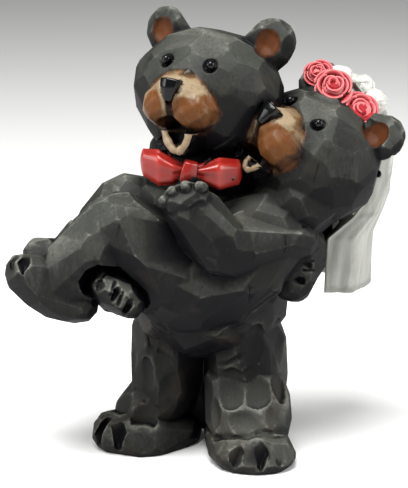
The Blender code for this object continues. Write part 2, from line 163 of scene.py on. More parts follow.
GROOM = Bear(
    name="groom",
    at=(1.4, -3.0, 132.1),
    turn=-24.7,
    tilt=8.0,
    mouth=(-12.2, -16.6, -21.4),
    ears=((-19.8, 18.6), (21.3, 18.6)),
)
BRIDE = Bear(
    name="bride",
    at=(39.9, -4.0, 109.0),
    turn=-44.0,
    tilt=41.0,
    mouth=(-15.2, -17.2, -19.0),
    ears=((-22, 20.2), (16.6, 18.6)),
    snout=(-1.3, 1.3, 0.9),
    chin=(0.85, -0.2),
)
BEARS = (GROOM, BRIDE)
EYES = ((-7.5, 20.3, 7.4), (9.1, 20.3, 7.4))
BEAD_RADIUS = 1.62
ROSES = (((40.2, 1.0, 136.8), 5.8), ((45.0, -6.5, 133.2), 6.4), ((54.7, -8.0, 125.3), 6.3))
BLOOMS = (0.98, 1.10, 1.14)
GATHERS = (((48, 8, 134), (5, 5, 4)), ((55, 8, 130.5), (5.5, 5, 4.5)), ((60.2, 5.6, 125.6), (4.6, 4.6, 4.5)))
BOW_LEFT = (
    ((-20.4, -24, 110.2), (1.9, 3, 4.2)),
    ((-13.5, -27, 108.2), (4, 4.4, 6.4)),
    ((-8, -29, 107.6), (2.5, 3.6, 4)),
)
BOW_RIGHT = (
    ((-2, -29.5, 107.4), (2.5, 3.6, 3.6)),
    ((5, -26.5, 106.6), (4.4, 4.4, 5.6)),
    ((11.5, -21.5, 106.2), (1.9, 3, 3.4)),
)
BOW = (BOW_LEFT, BOW_RIGHT)
KNOT = ((-5.1, -30.6, 107.8), (3.2, 3.2, 4.2))
MUZZLE = (
    ((0, 14, -2.6), (11, 9, 9)),
    ((0, 15, -6.2), (13.4, 9, 11.2)),
    ((0, 25.3, -4.4), (7.4, 5.5, 6.4)),
    ((0, 14, -2.6), (11, 9, 9)),
)
LIP = (((5.8, 22.3, -7.9), (6.5, 7, 6.8)), ((5.3, 14, -7), (8, 6, 8)))
NOSE = (
    ((-2.6, 29.4, 0.4), (1.4,) * 3), ((2.6, 29.4, 0.4), (1.4,) * 3), ((2.6, 30.8, -1.8), (1.3,) * 3),
    ((-2.6, 30.8, -1.8), (1.3,) * 3), ((0, 29.6, -5.6), (1.2,) * 3), ((2.6, 30.8, -1.8), (1.3,) * 3),
)


def egg(points: np.ndarray, centre: Vec, radii: Vec) -> np.ndarray:
    """How far inside an ellipsoid points lie.

    Args:
        points: Rows of coordinates.
        centre: The ellipsoid's middle.
        radii: Its three radii, or two where the first axis alone is left out.

    Returns:
        Roughly the depth in millimetres, negative outside.
    """
    reach = np.linalg.norm((points - np.array(centre)) / np.array(radii), axis=1)
    return (1 - reach) * min(radii)


def chain(points: np.ndarray, *eggs: tuple[Vec, Vec], grow: float = 0.0) -> np.ndarray:
    """How far inside a row of ellipsoids, filled in between, points lie.

    Args:
        points: Rows of coordinates.
        eggs: The centre and radii of each.
        grow: What is added to every radius.

    Returns:
        The depth in millimetres, negative outside.
    """
    best = np.full(len(points), -9.0)
    pairs = list(zip(eggs, eggs[1:])) or [(eggs[0], eggs[0])]
    for (c0, r0), (c1, r1) in pairs:
        for share in np.linspace(0, 1, 5):
            centre = np.array(c0) * (1 - share) + np.array(c1) * share
            radii = np.array(r0) * (1 - share) + np.array(r1) * share + grow
            best = np.maximum(best, egg(points, centre, radii))
    return best


# Shader maths


class Num:
    """A number that varies over a surface: one socket, with the usual arithmetic."""

    def __init__(self, graph: "Graph", socket: bpy.types.NodeSocket) -> None:
        """Wraps an output socket of a graph."""
        self.graph, self.socket = graph, socket

    def math(self, operation: str, *values: "Num | float", clamp: bool = False) -> "Num":
        """Adds one Math node.

        Args:
            operation: The node's operation.
            values: Its inputs, in order.
            clamp: Whether the result is held between 0 and 1.

        Returns:
            The node's result.
        """
        settings = {"operation": operation, "use_clamp": clamp}
        made = self.graph.node("ShaderNodeMath", settings, dict(enumerate(values)))
        return Num(self.graph, made.outputs[0])

    def __add__(self, other: "Num | float") -> "Num":
        """The sum."""
        return self.math("ADD", self, other)

    def __radd__(self, other: float) -> "Num":
        """The sum, number first."""
        return self.math("ADD", other, self)

    def __sub__(self, other: "Num | float") -> "Num":
        """The difference."""
        return self.math("SUBTRACT", self, other)

    def __rsub__(self, other: float) -> "Num":
        """The difference, number first."""
        return self.math("SUBTRACT", other, self)

    def __mul__(self, other: "Num | float") -> "Num":
        """The product."""
        return self.math("MULTIPLY", self, other)

    def __rmul__(self, other: float) -> "Num":
        """The product, number first."""
        return self.math("MULTIPLY", other, self)

    def step(self, low: float, high: float) -> "Num":
        """A smooth rise from 0 at low to 1 at high.

        Args:
            low: Where the rise starts.
            high: Where it ends.

        Returns:
            The eased number, held between 0 and 1.
        """
        settings = {"interpolation_type": "SMOOTHSTEP"}
        values = {0: self, 1: low, 2: high, 3: 0.0, 4: 1.0}
        return Num(self.graph, self.graph.node("ShaderNodeMapRange", settings, values).outputs[0])

    def held(self) -> "Num":
        """The number held between 0 and 1."""
        return self.math("ADD", self, 0.0, clamp=True)


class Graph:
    """The nodes of one material."""

    def __init__(self, name: str) -> None:
        """Starts an empty material of that name."""
        self.material = bpy.data.materials.new(name)
        self.material.use_nodes = True
        self.tree = self.material.node_tree
        self.tree.nodes.clear()
        self.place = self.node("ShaderNodeTexCoord").outputs["Object"]

    def node(self, kind: str, settings: dict | None = None, values: dict | None = None) -> bpy.types.Node:
        """Makes one node.

        Args:
            kind: The node's type.
            settings: Its properties, set before its sockets; "stops" are a ramp's.
            values: Its inputs by name or index: numbers, colours, sockets or Nums.

        Returns:
            The node.
        """
        made = self.tree.nodes.new(kind)
        for key, value in (settings or {}).items():
            if key == "stops":
                self.set_stops(made.color_ramp, value)
            else:
                setattr(made, key, value)
        for key, value in (values or {}).items():
            if isinstance(value, Num):
                value = value.socket
            if isinstance(value, bpy.types.NodeSocket):
                self.tree.links.new(value, made.inputs[key])
            else:
                made.inputs[key].default_value = value
        return made

    @staticmethod
    def set_stops(ramp: bpy.types.ColorRamp, stops: Iterable[tuple[float, Vec]]) -> None:
        """Gives a ramp its stops, each a position and a colour."""
        stops = list(stops)
        while len(ramp.elements) < len(stops):
            ramp.elements.new(1.0)
        for element, (position, colour) in zip(ramp.elements, stops):
            element.position = position
            element.color = (*colour, 1)

    def field(self, name: str) -> Num:
        """A named attribute of the mesh's points."""
        return Num(self, self.node("ShaderNodeAttribute", {"attribute_name": name}).outputs["Fac"])

    def noise(self, size: float, detail: float = 3.0, stretch: Vec = (1, 1, 1), rough: float = 0.5) -> Num:
        """Soft noise on the object's own coordinates.

        Args:
            size: The size of a patch, in millimetres.
            detail: How many finer layers it has.
            stretch: How much longer a patch is along x, y and z.
            rough: The weight of the finer layers.

        Returns:
            Values about one half.
        """
        scale = tuple(1 / s for s in stretch)
        turned = self.node("ShaderNodeMapping", None, {"Vector": self.place, "Scale": scale}).outputs[0]
        values = {"Vector": turned, "Scale": 1 / (size * MM), "Detail": detail, "Roughness": rough}
        return Num(self, self.node("ShaderNodeTexNoise", None, values).outputs["Fac"])

    def mix(self, factor: Num | float, first: Colour, second: Colour) -> bpy.types.NodeSocket:
        """Mixes two colours.

        Args:
            factor: The share of the second.
            first: A colour or a colour socket.
            second: A colour or a colour socket.

        Returns:
            The mixed colour's socket.
        """
        first, second = ((*c, 1) if isinstance(c, tuple) else c for c in (first, second))
        settings = {"data_type": "RGBA", "blend_type": "MIX"}
        return self.node("ShaderNodeMix", settings, {0: factor, 6: first, 7: second}).outputs[2]

    def ramp(self, factor: Num, stops: Iterable[tuple[float, Vec]]) -> bpy.types.NodeSocket:
        """The colour at a number, read from stops."""
        return self.node("ShaderNodeValToRGB", {"stops": stops}, {0: factor}).outputs[0]

    def bump(self, height: Num, depth: float, strength: float) -> bpy.types.NodeSocket:
        """A fine relief for the shader.

        Args:
            height: The relief, 0 to 1.
            depth: Its depth, in millimetres.
            strength: Its weight.

        Returns:
            The normal socket.
        """
        values = {"Height": height, "Distance": depth * MM, "Strength": strength}
        return self.node("ShaderNodeBump", None, values).outputs[0]

    def finish(self, values: dict) -> bpy.types.Material:
        """Closes the material with a Principled shader.

        Args:
            values: The shader's inputs by name.

        Returns:
            The material.
        """
        shader = self.node("ShaderNodeBsdfPrincipled", None, values)
        self.node("ShaderNodeOutputMaterial", None, {"Surface": shader.outputs[0]})
        return self.material


# Paints


@dataclass(frozen=True)
class CastingPaint:
    """The hand-painted casting: charcoal fur, tan muzzles and rust ears, with painted light on upper sides
    and painted shade in creases and on lower sides.
    """

    deep: tuple = (0.0010, 0.0010, 0.0020)
    dark: tuple = (0.0042, 0.0044, 0.0046)
    mid: tuple = (0.0115, 0.0122, 0.0105)
    light: tuple = (0.034, 0.0355, 0.0305)
    brushed_and_lit: tuple = (0.120, 0.121, 0.104)
    brown: tuple = (0.040, 0.029, 0.019)
    cream: tuple = (0.220, 0.165, 0.102)
    tan: tuple = (0.120, 0.066, 0.028)
    orange: tuple = (0.086, 0.028, 0.006)
    # Dark brown for stained lines and flecks, and for painted shade in creases and on lower sides.
    stain: tuple = (0.011, 0.0045, 0.0028)
    rust: tuple = (0.066, 0.020, 0.006)
    black: tuple = (0.003, 0.003, 0.004)
    red: tuple = (0.10, 0.004, 0.004)
    pink: tuple = (0.26, 0.016, 0.02)
    white: tuple = (0.40, 0.40, 0.36)

    def make(self) -> bpy.types.Material:
        """Builds the material from the casting's painted fields."""
        g = Graph("painted casting")
        ridge, recess, grain = g.field("ridge"), g.field("recess"), g.noise(1.1, 4, rough=0.6)
        strokes = g.noise(0.7, 3, (1, 1, 5))
        colour = self.fur(g, ridge, recess, grain, strokes)
        edge = (strokes - 0.5) * 1.1 + (grain - 0.5) * 0.9
        tan = (g.field("tan") + edge).step(-0.2, 0.2)
        colour = g.mix(tan, colour, self.muzzle(g, ridge, recess, grain))
        # Painted shade: each ear's hollow darkens towards its rim.
        border = 1 - g.field("rust").step(0.2, 1.3)
        ear = g.mix(((grain - 0.5) * 0.8 + border * 0.7).held(), self.rust, self.stain)
        ear = g.mix(((g.noise(2.2, 3) - 0.48) * 1.6).held(), ear, self.orange)
        colour = g.mix((g.field("rust") + (grain - 0.5) * 0.7).step(-0.1, 0.3), colour, ear)
        for name, tint in (("rosy", self.pink), ("red", self.red), ("veil", self.white)):
            colour = g.mix(g.field(name).step(-0.1, 0.2), colour, tint)
        for name in ("mouth", "socket", "crack"):
            colour = g.mix((g.field(name) + (grain - 0.5) * 0.2).step(-0.08, 0.14), colour, self.black)
        rough = (0.55 + (grain - 0.5) * 0.25 - tan * 0.16).held()
        normal = g.bump(strokes * 0.6 + grain * 0.4, 0.14, 0.4)
        values = {"Base Color": colour, "Roughness": rough, "Normal": normal}
        return g.finish({**values, "Specular IOR Level": 0.1})

    def fur(self, g: Graph, ridge: Num, recess: Num, grain: Num, strokes: Num) -> bpy.types.NodeSocket:
        """Charcoal with dry brush on its ridges, painted light on its upper sides, brown in places, and
        near-black painted shade in its creases.

        Args:
            g: The graph to add to.
            ridge: How sharp an edge is.
            recess: How deep a crease is.
            grain: Fine noise.
            strokes: Fine noise that runs up and down.

        Returns:
            The colour's socket.
        """
        facet, lit, cloud = g.field("facet"), g.field("lit"), g.noise(9, 3)
        tone = 0.275
        for layer, weight in ((facet, 0.22), (cloud, 0.14), (grain, 0.12), (strokes, 0.20)):
            tone = tone + (layer - 0.5) * weight
        worn = (ridge * (0.8 + (g.noise(2.6, 3) - 0.5) * 1.4 + (grain - 0.5) * 0.8)).held()
        # Lighter on upper sides as painted light and on worn edges, darker in creases as painted shade.
        tone = (tone + (lit - 0.2) * 0.55 + worn * 0.46 - recess * 0.60).held()
        # The lightest stop serves worn edges and also upper sides in painted light.
        tints = (self.deep, self.dark, self.mid, self.light, self.brushed_and_lit)
        colour = g.ramp(tone, zip((0.0, 0.20, 0.42, 0.68, 1.0), tints))
        low = 1 - g.field("height").step(0.05, 0.40)
        warm = (g.noise(14, 2) + low * 0.10).step(0.58, 0.72)
        return g.mix((warm * (1 - recess) * 0.2).held(), colour, self.brown)

    def muzzle(self, g: Graph, ridge: Num, recess: Num, grain: Num) -> bpy.types.NodeSocket:
        """Cream rims and bridge, orange-brown lip lobes, dark stained philtrum, mouth corners and flecks, and
        painted shade in the creases and on lower sides.

        Args:
            g: The graph to add to.
            ridge: How sharp an edge is.
            recess: How deep a crease is.
            grain: Fine noise.

        Returns:
            The colour's socket.
        """
        patch, fine = g.noise(3.0, 3, rough=0.6), g.noise(0.8, 3, (1, 1, 4))
        depth = g.field("tan")
        inner = (depth + (patch - 0.5) * 1.4).step(1.6, 2.6)
        rim = (depth + (patch - 0.5) * 0.8).step(0.6, 1.0) * (1 - inner)
        pale = (g.field("cream") + (patch - 0.5) * 1.6).step(-0.3, 0.9)
        pale = (pale * (0.35 + patch * 0.9) + rim * 0.6 + ridge * 0.2 + (fine - 0.55) * 0.9).held()
        lobe = (g.field("lobe") + (patch - 0.5) * 1.6 + (fine - 0.5) * 1.0).step(-0.35, 0.75)
        colour = g.mix(pale, self.tan, self.cream)
        warm = g.mix((patch - 0.42).held() * 1.2, self.orange, self.tan)
        colour = g.mix((lobe * (0.98 - ridge * 0.12)).held(), colour, warm)
        border = 1 - (depth + (grain - 0.5) * 0.8).step(0.1, 0.85)
        under = (g.field("lobe") + (grain - 0.5) * 1.6).step(-1.1, -0.1) * (1 - lobe)
        # One dark brown for the stained philtrum, mouth corners, edge and flecks round the lobes, and for
        # painted shade in creases.
        stain = recess * 1.15 + g.field("stain").step(-0.7, 0.4) * (0.7 + grain * 0.5) + border * 0.8
        stain = stain + under * (grain - 0.40) * 1.5 + ((fine - 0.58) * 3.0).held() * 0.8
        # Painted shade: darker where the muzzle faces away from the light above.
        stain = stain + (0 - g.field("lit")).step(0.0, 0.8) * 0.8
        return g.mix(stain.held(), colour, self.stain)


@dataclass(frozen=True)
class GlossPaint:
    """A paint with brush marks, painted shade in its folds and painted highlight on its edges: for the bow
    tie, the roses and the lower lips.

    Attributes:
        name: The material's name.
        base: The colour of the open parts.
        dark: The colour of the folds, as painted shade.
        light: The colour of the edges, as painted highlight.
        rough: The middle roughness.
        coat: The weight of the clear coat.
        patch: The size of a lighter or darker patch, in millimetres.
    """

    name: str
    base: tuple
    dark: tuple
    light: tuple
    rough: float
    coat: float
    patch: float = 4.0

    def make(self) -> bpy.types.Material:
        """Builds the material."""
        g = Graph(self.name)
        recess, ridge = g.field("recess"), g.field("ridge")
        patch, grain = g.noise(self.patch, 3), g.noise(0.6, 3, (3, 1, 1))
        # Painted shade in the folds, with darker and lighter patches at random.
        shade = (recess * 1.3 + (patch - 0.5) * 0.9).held()
        colour = g.mix(shade, self.base, self.dark)
        # Painted highlight on the edges, with fine light flecks.
        shine = (ridge * (0.35 + patch * 0.8) + (grain - 0.66).held() * 0.3).held()
        colour = g.mix(shine, colour, self.light)
        rough = (self.rough + (grain - 0.5) * 0.12 + shade * 0.12).held()
        normal = g.bump(grain * 0.5 + patch * 0.5, 0.1, 0.25)
        values = {"Base Color": colour, "Roughness": rough, "Normal": normal}
        gloss = {"Coat Weight": self.coat, "Coat Roughness": 0.12, "Specular IOR Level": 0.3}
        return g.finish({**values, **gloss})


# In each paint below, dark is the painted shade in folds and light the painted highlight on edges.
RED = GlossPaint(
    "red satin",
    base=(0.185, 0.0085, 0.006),
    dark=(0.030, 0.0015, 0.0015),
    light=(0.30, 0.024, 0.015),
    rough=0.3,
    coat=0.12,
)
CORAL = GlossPaint(
    "coral pink",
    base=(0.42, 0.044, 0.050),
    dark=(0.095, 0.004, 0.006),
    light=(0.60, 0.15, 0.155),
    rough=0.5,
    coat=0.05,
    patch=2.2,
)
CREAM = GlossPaint(
    "lip cream",
    base=(0.140, 0.090, 0.045),
    dark=(0.014, 0.006, 0.003),
    light=(0.22, 0.165, 0.105),
    rough=0.5,
    coat=0.02,
    patch=1.6,
)


@dataclass(frozen=True)
class ClothPaint:
    """Off-white paint with grey streaks that run down the veil, painted highlight on fold crests and painted
    shade in its folds.
    """

    name: str = "veil paint"
    white: tuple = (0.50, 0.505, 0.465)
    grey: tuple = (0.17, 0.175, 0.16)
    dust_and_shade: tuple = (0.12, 0.12, 0.105)
    tall: float = 14.0

    def make(self) -> bpy.types.Material:
        """Builds the material."""
        g = Graph(self.name)
        recess, ridge = g.field("recess"), g.field("ridge")
        streak = g.noise(1.6, 4, (1, 1, self.tall), rough=0.65)
        fine, cloud = g.noise(0.5, 2, (1, 1, 8)), g.noise(8, 2)
        # Grey streaks and patches; fold crests are kept whiter as painted highlight.
        shade = ((streak - 0.46) * 2.0 + (cloud - 0.5) * 0.9 + (fine - 0.5) * 0.5 - ridge * 0.5).held()
        colour = g.mix(shade * 0.75, self.white, self.grey)
        # Painted shade in closed-off folds, with fine grey flecks.
        colour = g.mix((recess * 0.8 + (fine - 0.7).held() * 0.6).held(), colour, self.dust_and_shade)
        normal = g.bump(streak * 0.6 + fine * 0.4, 0.15, 0.4)
        return g.finish({"Base Color": colour, "Roughness": 0.62, "Normal": normal})


@dataclass(frozen=True)
class EnamelPaint:
    """Wet-looking black for noses and eyes."""

    def make(self) -> bpy.types.Material:
        """Builds the material."""
        g = Graph("black enamel")
        patch = g.noise(2.5, 3)
        colour = g.mix((patch - 0.5).held() * 0.8, (0.002, 0.0022, 0.0024), (0.006, 0.007, 0.0085))
        rough = (0.12 + patch * 0.12).held()
        values = {"Base Color": colour, "Roughness": rough, "Normal": g.bump(patch, 0.05, 0.1)}
        return g.finish({**values, "Specular IOR Level": 0.2})


# The bench


class Bench:
    """The few handling steps that every piece shares."""

    @staticmethod
    def clear() -> None:
        """Leaves edit mode and deselects everything."""
        if bpy.context.object and bpy.context.object.mode != "OBJECT":
            bpy.ops.object.mode_set(mode="OBJECT")
        for one in bpy.context.view_layer.objects:
            one.select_set(False)

    @staticmethod
    def hold(piece: bpy.types.Object) -> bpy.types.Object:
        """Makes one piece the only selected and active one."""
        Bench.clear()
        piece.select_set(True)
        bpy.context.view_layer.objects.active = piece
        return piece

    @staticmethod
    def take(name: str) -> bpy.types.Object:
        """Names the primitive just added, with its place in its mesh."""
        piece = bpy.context.object
        piece.name = piece.data.name = name
        bpy.ops.object.transform_apply(location=True, rotation=True, scale=True)
        return piece

    @staticmethod
    def shape(piece: bpy.types.Object, move: Callable[[Vector], Vector]) -> None:
        """Moves every point of a piece in edit mode.

        Args:
            piece: The piece.
            move: Gives a point's new place, in metres.
        """
        Bench.hold(piece)
        bpy.ops.object.mode_set(mode="EDIT")
        bpy.ops.mesh.select_all(action="SELECT")
        mesh = bmesh.from_edit_mesh(piece.data)
        for vert in mesh.verts:
            vert.co = move(vert.co.copy())
        bmesh.update_edit_mesh(piece.data)
        bpy.ops.mesh.normals_make_consistent(inside=False)
        bpy.ops.object.mode_set(mode="OBJECT")

    @staticmethod
    def apply(piece: bpy.types.Object, kind: str, **settings: object) -> None:
        """Adds a modifier, sets it and applies it.

        Args:
            piece: The piece.
            kind: The modifier's type.
            settings: Its properties.
        """
        Bench.hold(piece)
        made = piece.modifiers.new(kind.title(), kind)
        for key, value in settings.items():
            setattr(made, key, value)
        bpy.ops.object.modifier_apply(modifier=made.name)

    @staticmethod
    def join(name: str, parts: Sequence[bpy.types.Object]) -> bpy.types.Object:
        """Joins parts into one piece of that name."""
        Bench.clear()
        for part in parts:
            part.select_set(True)
        bpy.context.view_layer.objects.active = parts[0]
        if len(parts) > 1:
            bpy.ops.object.join()
        parts[0].name = parts[0].data.name = name
        return parts[0]

    @staticmethod
    def smooth(piece: bpy.types.Object, angle: float = 180.0) -> None:
        """Shades a piece smooth, keeping edges sharper than an angle in degrees."""
        Bench.hold(piece)
        bpy.ops.object.shade_smooth_by_angle(angle=math.radians(angle))


class Surface:
    """A mesh's points as arrays, in the carver's millimetres."""

    def __init__(self, piece: bpy.types.Object) -> None:
        """Reads the points and edges of a piece."""
        self.mesh = piece.data
        count = len(self.mesh.vertices)
        flat = np.empty(count * 3, np.float32)
        self.mesh.vertices.foreach_get("co", flat)
        self.points = flat.reshape(-1, 3).astype(float) / MM - np.array(MOVED)
        edges = np.empty(len(self.mesh.edges) * 2, np.int32)
        self.mesh.edges.foreach_get("vertices", edges)
        self.edges = edges.reshape(-1, 2)
        self.degree = np.maximum(np.bincount(self.edges.ravel(), minlength=count), 1)

    def write(self) -> None:
        """Puts the points back."""
        flat = ((self.points + np.array(MOVED)) * MM).astype(np.float32).ravel()
        self.mesh.vertices.foreach_set("co", flat)
        self.mesh.update()

    def normals(self) -> np.ndarray:
        """The outward directions at the points."""
        self.write()
        flat = np.empty(len(self.points) * 3, np.float32)
        self.mesh.vertex_normals.foreach_get("vector", flat)
        return flat.reshape(-1, 3).astype(float)

    def around(self, values: np.ndarray) -> np.ndarray:
        """The mean of each point's neighbours.

        Args:
            values: One number or one row for each point.

        Returns:
            The neighbours' means, in the same shape.
        """
        rows = values.reshape(len(self.points), -1)
        a, b = self.edges.T
        means = np.empty_like(rows)
        for i in range(rows.shape[1]):
            total = np.bincount(a, rows[b, i], len(rows)) + np.bincount(b, rows[a, i], len(rows))
            means[:, i] = total / self.degree
        return means.reshape(values.shape)

    def soften(self, rounds: int, share: float = 0.5, where: np.ndarray | None = None) -> None:
        """Moves points towards their neighbours' mean.

        Args:
            rounds: How many times.
            share: How far each time.
            where: A weight for each point, or all.
        """
        weight = share if where is None else share * where[:, None]
        for _ in range(rounds):
            self.points += (self.around(self.points) - self.points) * weight

    def blur(self, values: np.ndarray, rounds: int) -> np.ndarray:
        """Values averaged with their neighbours' a number of times."""
        for _ in range(rounds):
            values = (values + self.around(values)) / 2
        return values

    def ridges_and_creases(self, least: float = 0.045, span: float = 0.16) -> tuple[np.ndarray, np.ndarray]:
        """How sharply the surface turns outwards and inwards at each point.

        Args:
            least: The lift of the mildest edge that counts, in millimetres.
            span: How much more makes a full edge.

        Returns:
            The outward and the inward turn, 0 to 1.
        """
        normals = self.normals()
        lift = ((self.points - self.blur(self.points, 8)) * normals).sum(1)
        lift = self.blur(lift, 1)
        # The inward turn feeds painted shade; the outward turn feeds worn fur edges and painted highlights.
        return np.clip((lift - least) / span, 0, 1), np.clip((-lift - least * 0.7) / span, 0, 1)

    def paint(self, name: str, values: np.ndarray) -> None:
        """Stores one number for each point under a name."""
        made = self.mesh.attributes.get(name) or self.mesh.attributes.new(name, "FLOAT", "POINT")
        made.data.foreach_set("value", values.astype(np.float32))


def solid_tree(mesh: bpy.types.Mesh) -> BVHTree:
    """A search tree of a mesh's faces, in the carver's millimetres."""
    points = [vert.co / MM - MOVED for vert in mesh.vertices]
    return BVHTree.FromPolygons(points, [tuple(face.vertices) for face in mesh.polygons])


def shut_in(surface: Surface, solid: BVHTree, reach: float = 11.0, rays: int = 14) -> np.ndarray:
    """How much of the open space round each point is closed off.

    Args:
        surface: The points.
        solid: What can stand in the way.
        reach: How far a ray goes, in millimetres.
        rays: How many rays each point sends.

    Returns:
        0 where a point lies open, 1 where it is shut in.
    """
    normals = surface.normals()
    fan = [
        Vector((math.sqrt(1 - h * h) * math.cos(i * 2.4), math.sqrt(1 - h * h) * math.sin(i * 2.4), h))
        for i, h in ((i, math.sqrt(0.12 + 0.86 * (i + 0.5) / rays)) for i in range(rays))
    ]
    closed = np.zeros(len(surface.points))
    for i, (point, normal) in enumerate(zip(surface.points, normals)):
        out = Vector(normal)
        turn = out.to_track_quat("Z", "Y").to_matrix()
        start = Vector(point) + out * 0.35
        total = 0.0
        for ray in fan:
            hit = solid.ray_cast(start, turn @ ray, reach)[3]
            if hit is not None:
                total += 1 - hit / reach
        closed[i] = total / rays
    return closed


# The casting


@dataclass(frozen=True)
class Crack:
    """A short split in the wood grain, from one point on the skin to another."""

    start: tuple[float, float, float]
    end: tuple[float, float, float]
    width: float = 0.42
    depth: float = 0.9


CRACKS = (
    Crack((-13.2, -36.7, 76.1), (-14.8, -36.4, 66.1)),
    Crack((-0.7, -36.2, 69.3), (-0.7, -36.3, 62.6)),
    Crack((15.0, -35.7, 70.2), (15.3, -29.5, 60.3)),
    Crack((-22.6, -36.7, 84.0), (-24.3, -36.9, 77.3)),
    Crack((39.0, -29.0, 110.5), (37.1, -28.8, 103.6)),
    Crack((48.6, -28.6, 108.0), (46.3, -28.2, 100.7)),
    Crack((27.3, -31.7, 87.1), (26.0, -31.4, 77.5)),
    Crack((-2.3, -40.8, 97.6), (-4.7, -41.8, 92.7)),
    Crack((-20.1, -9.5, 43.3), (-19.0, -11.0, 39.6)),
    Crack((18.3, -15.8, 46.9), (18.1, -15.1, 40.9)),
    Crack((12.3, -17.1, 38.8), (8.5, -16.3, 35.3)),
    Crack((-12.7, -12.0, 26.4), (-13.1, -9.5, 18.3)),
    Crack((6.1, -13.9, 23.8), (6.1, -13.5, 20.8)),
    Crack((-28.4, -35.7, 90.5), (-29.4, -36.2, 86.8)),
    Crack((6.0, 25.0, 84.0), (5.0, 25.0, 76.0)),
    Crack((-12.0, 24.0, 66.0), (-12.5, 24.0, 57.0)),
    Crack((18.0, 16.0, 34.0), (18.0, 15.0, 26.0)),
    Crack((-8.0, 20.0, 128.0), (-8.5, 20.0, 120.0)),
)


@dataclass(frozen=True)
class Scoop:
    """A shallow oval cut of a round gouge.

    Attributes:
        at: A point near its middle.
        out: The way the gouge is held off the skin.
        long: Half its length, upwards.
        wide: Half its width.
        deep: Its depth.
        lean: How far its length leans to the viewer's right, in degrees.
    """

    at: tuple[float, float, float]
    out: tuple[float, float, float]
    long: float
    wide: float
    deep: float
    lean: float = 0.0

    def cut(self, surface: Surface, tree: KDTree) -> None:
        """Takes away what stands above the scoop's floor.

        Args:
            surface: The skin to cut.
            tree: Its points, for finding the nearest.
        """
        middle = surface.points[tree.find(self.at)[1]]
        out = np.array(Vector(self.out).normalized())
        lean = math.radians(self.lean)
        along = np.array((math.sin(lean), 0.0, math.cos(lean)))
        along -= out * along.dot(out)
        along /= np.linalg.norm(along)
        across = np.cross(out, along)
        near = np.array([index for _, index, _ in tree.find_range(middle, max(self.long, self.wide) * 1.3)])
        away = surface.points[near] - middle
        reach = ((away @ along) / self.long) ** 2 + ((away @ across) / self.wide) ** 2
        height = away @ out
        floor = self.deep * (reach - 1)
        gone = (reach < 1.3) & (height > floor) & (height > -3) & (height < 3.5)
        surface.points[near[gone]] -= out * (height[gone] - floor[gone])[:, None]


@dataclass(frozen=True)
class Groove:
    """A line cut into the skin, or raised as a crest where its depth is below zero.

    Attributes:
        path: Points on the skin.
        above: How far its side slopes above the line.
        below: How far its side slopes below the line.
        deep: Its depth.
    """

    path: tuple[tuple[float, float, float], ...]
    above: float
    below: float
    deep: float

    def cut(self, surface: Surface, normals: np.ndarray) -> None:
        """Lowers or raises the skin along the line."""
        gap, rise = line_gap(surface.points, self.path)
        side = np.where(rise > 0, self.above, self.below)
        surface.points -= normals * (np.clip(1 - gap / side, 0, 1) * self.deep)[:, None]


def line_gap(points: np.ndarray, path: Sequence[Vec]) -> tuple[np.ndarray, np.ndarray]:
    """How far points lie from a line of straight runs.

    Args:
        points: Rows of coordinates.
        path: The line's corners.

    Returns:
        The distances, and how far each point stands above its nearest place on the line.
    """
    gap, rise = np.full(len(points), 1e3), np.zeros(len(points))
    for start, end in zip(path, path[1:]):
        start, along = np.array(start), np.array(end) - np.array(start)
        share = np.clip(((points - start) @ along) / along.dot(along), 0, 1)
        away = points - (start + share[:, None] * along)
        length = np.linalg.norm(away, axis=1)
        rise = np.where(length < gap, away[:, 2], rise)
        gap = np.minimum(gap, length)
    return gap, rise


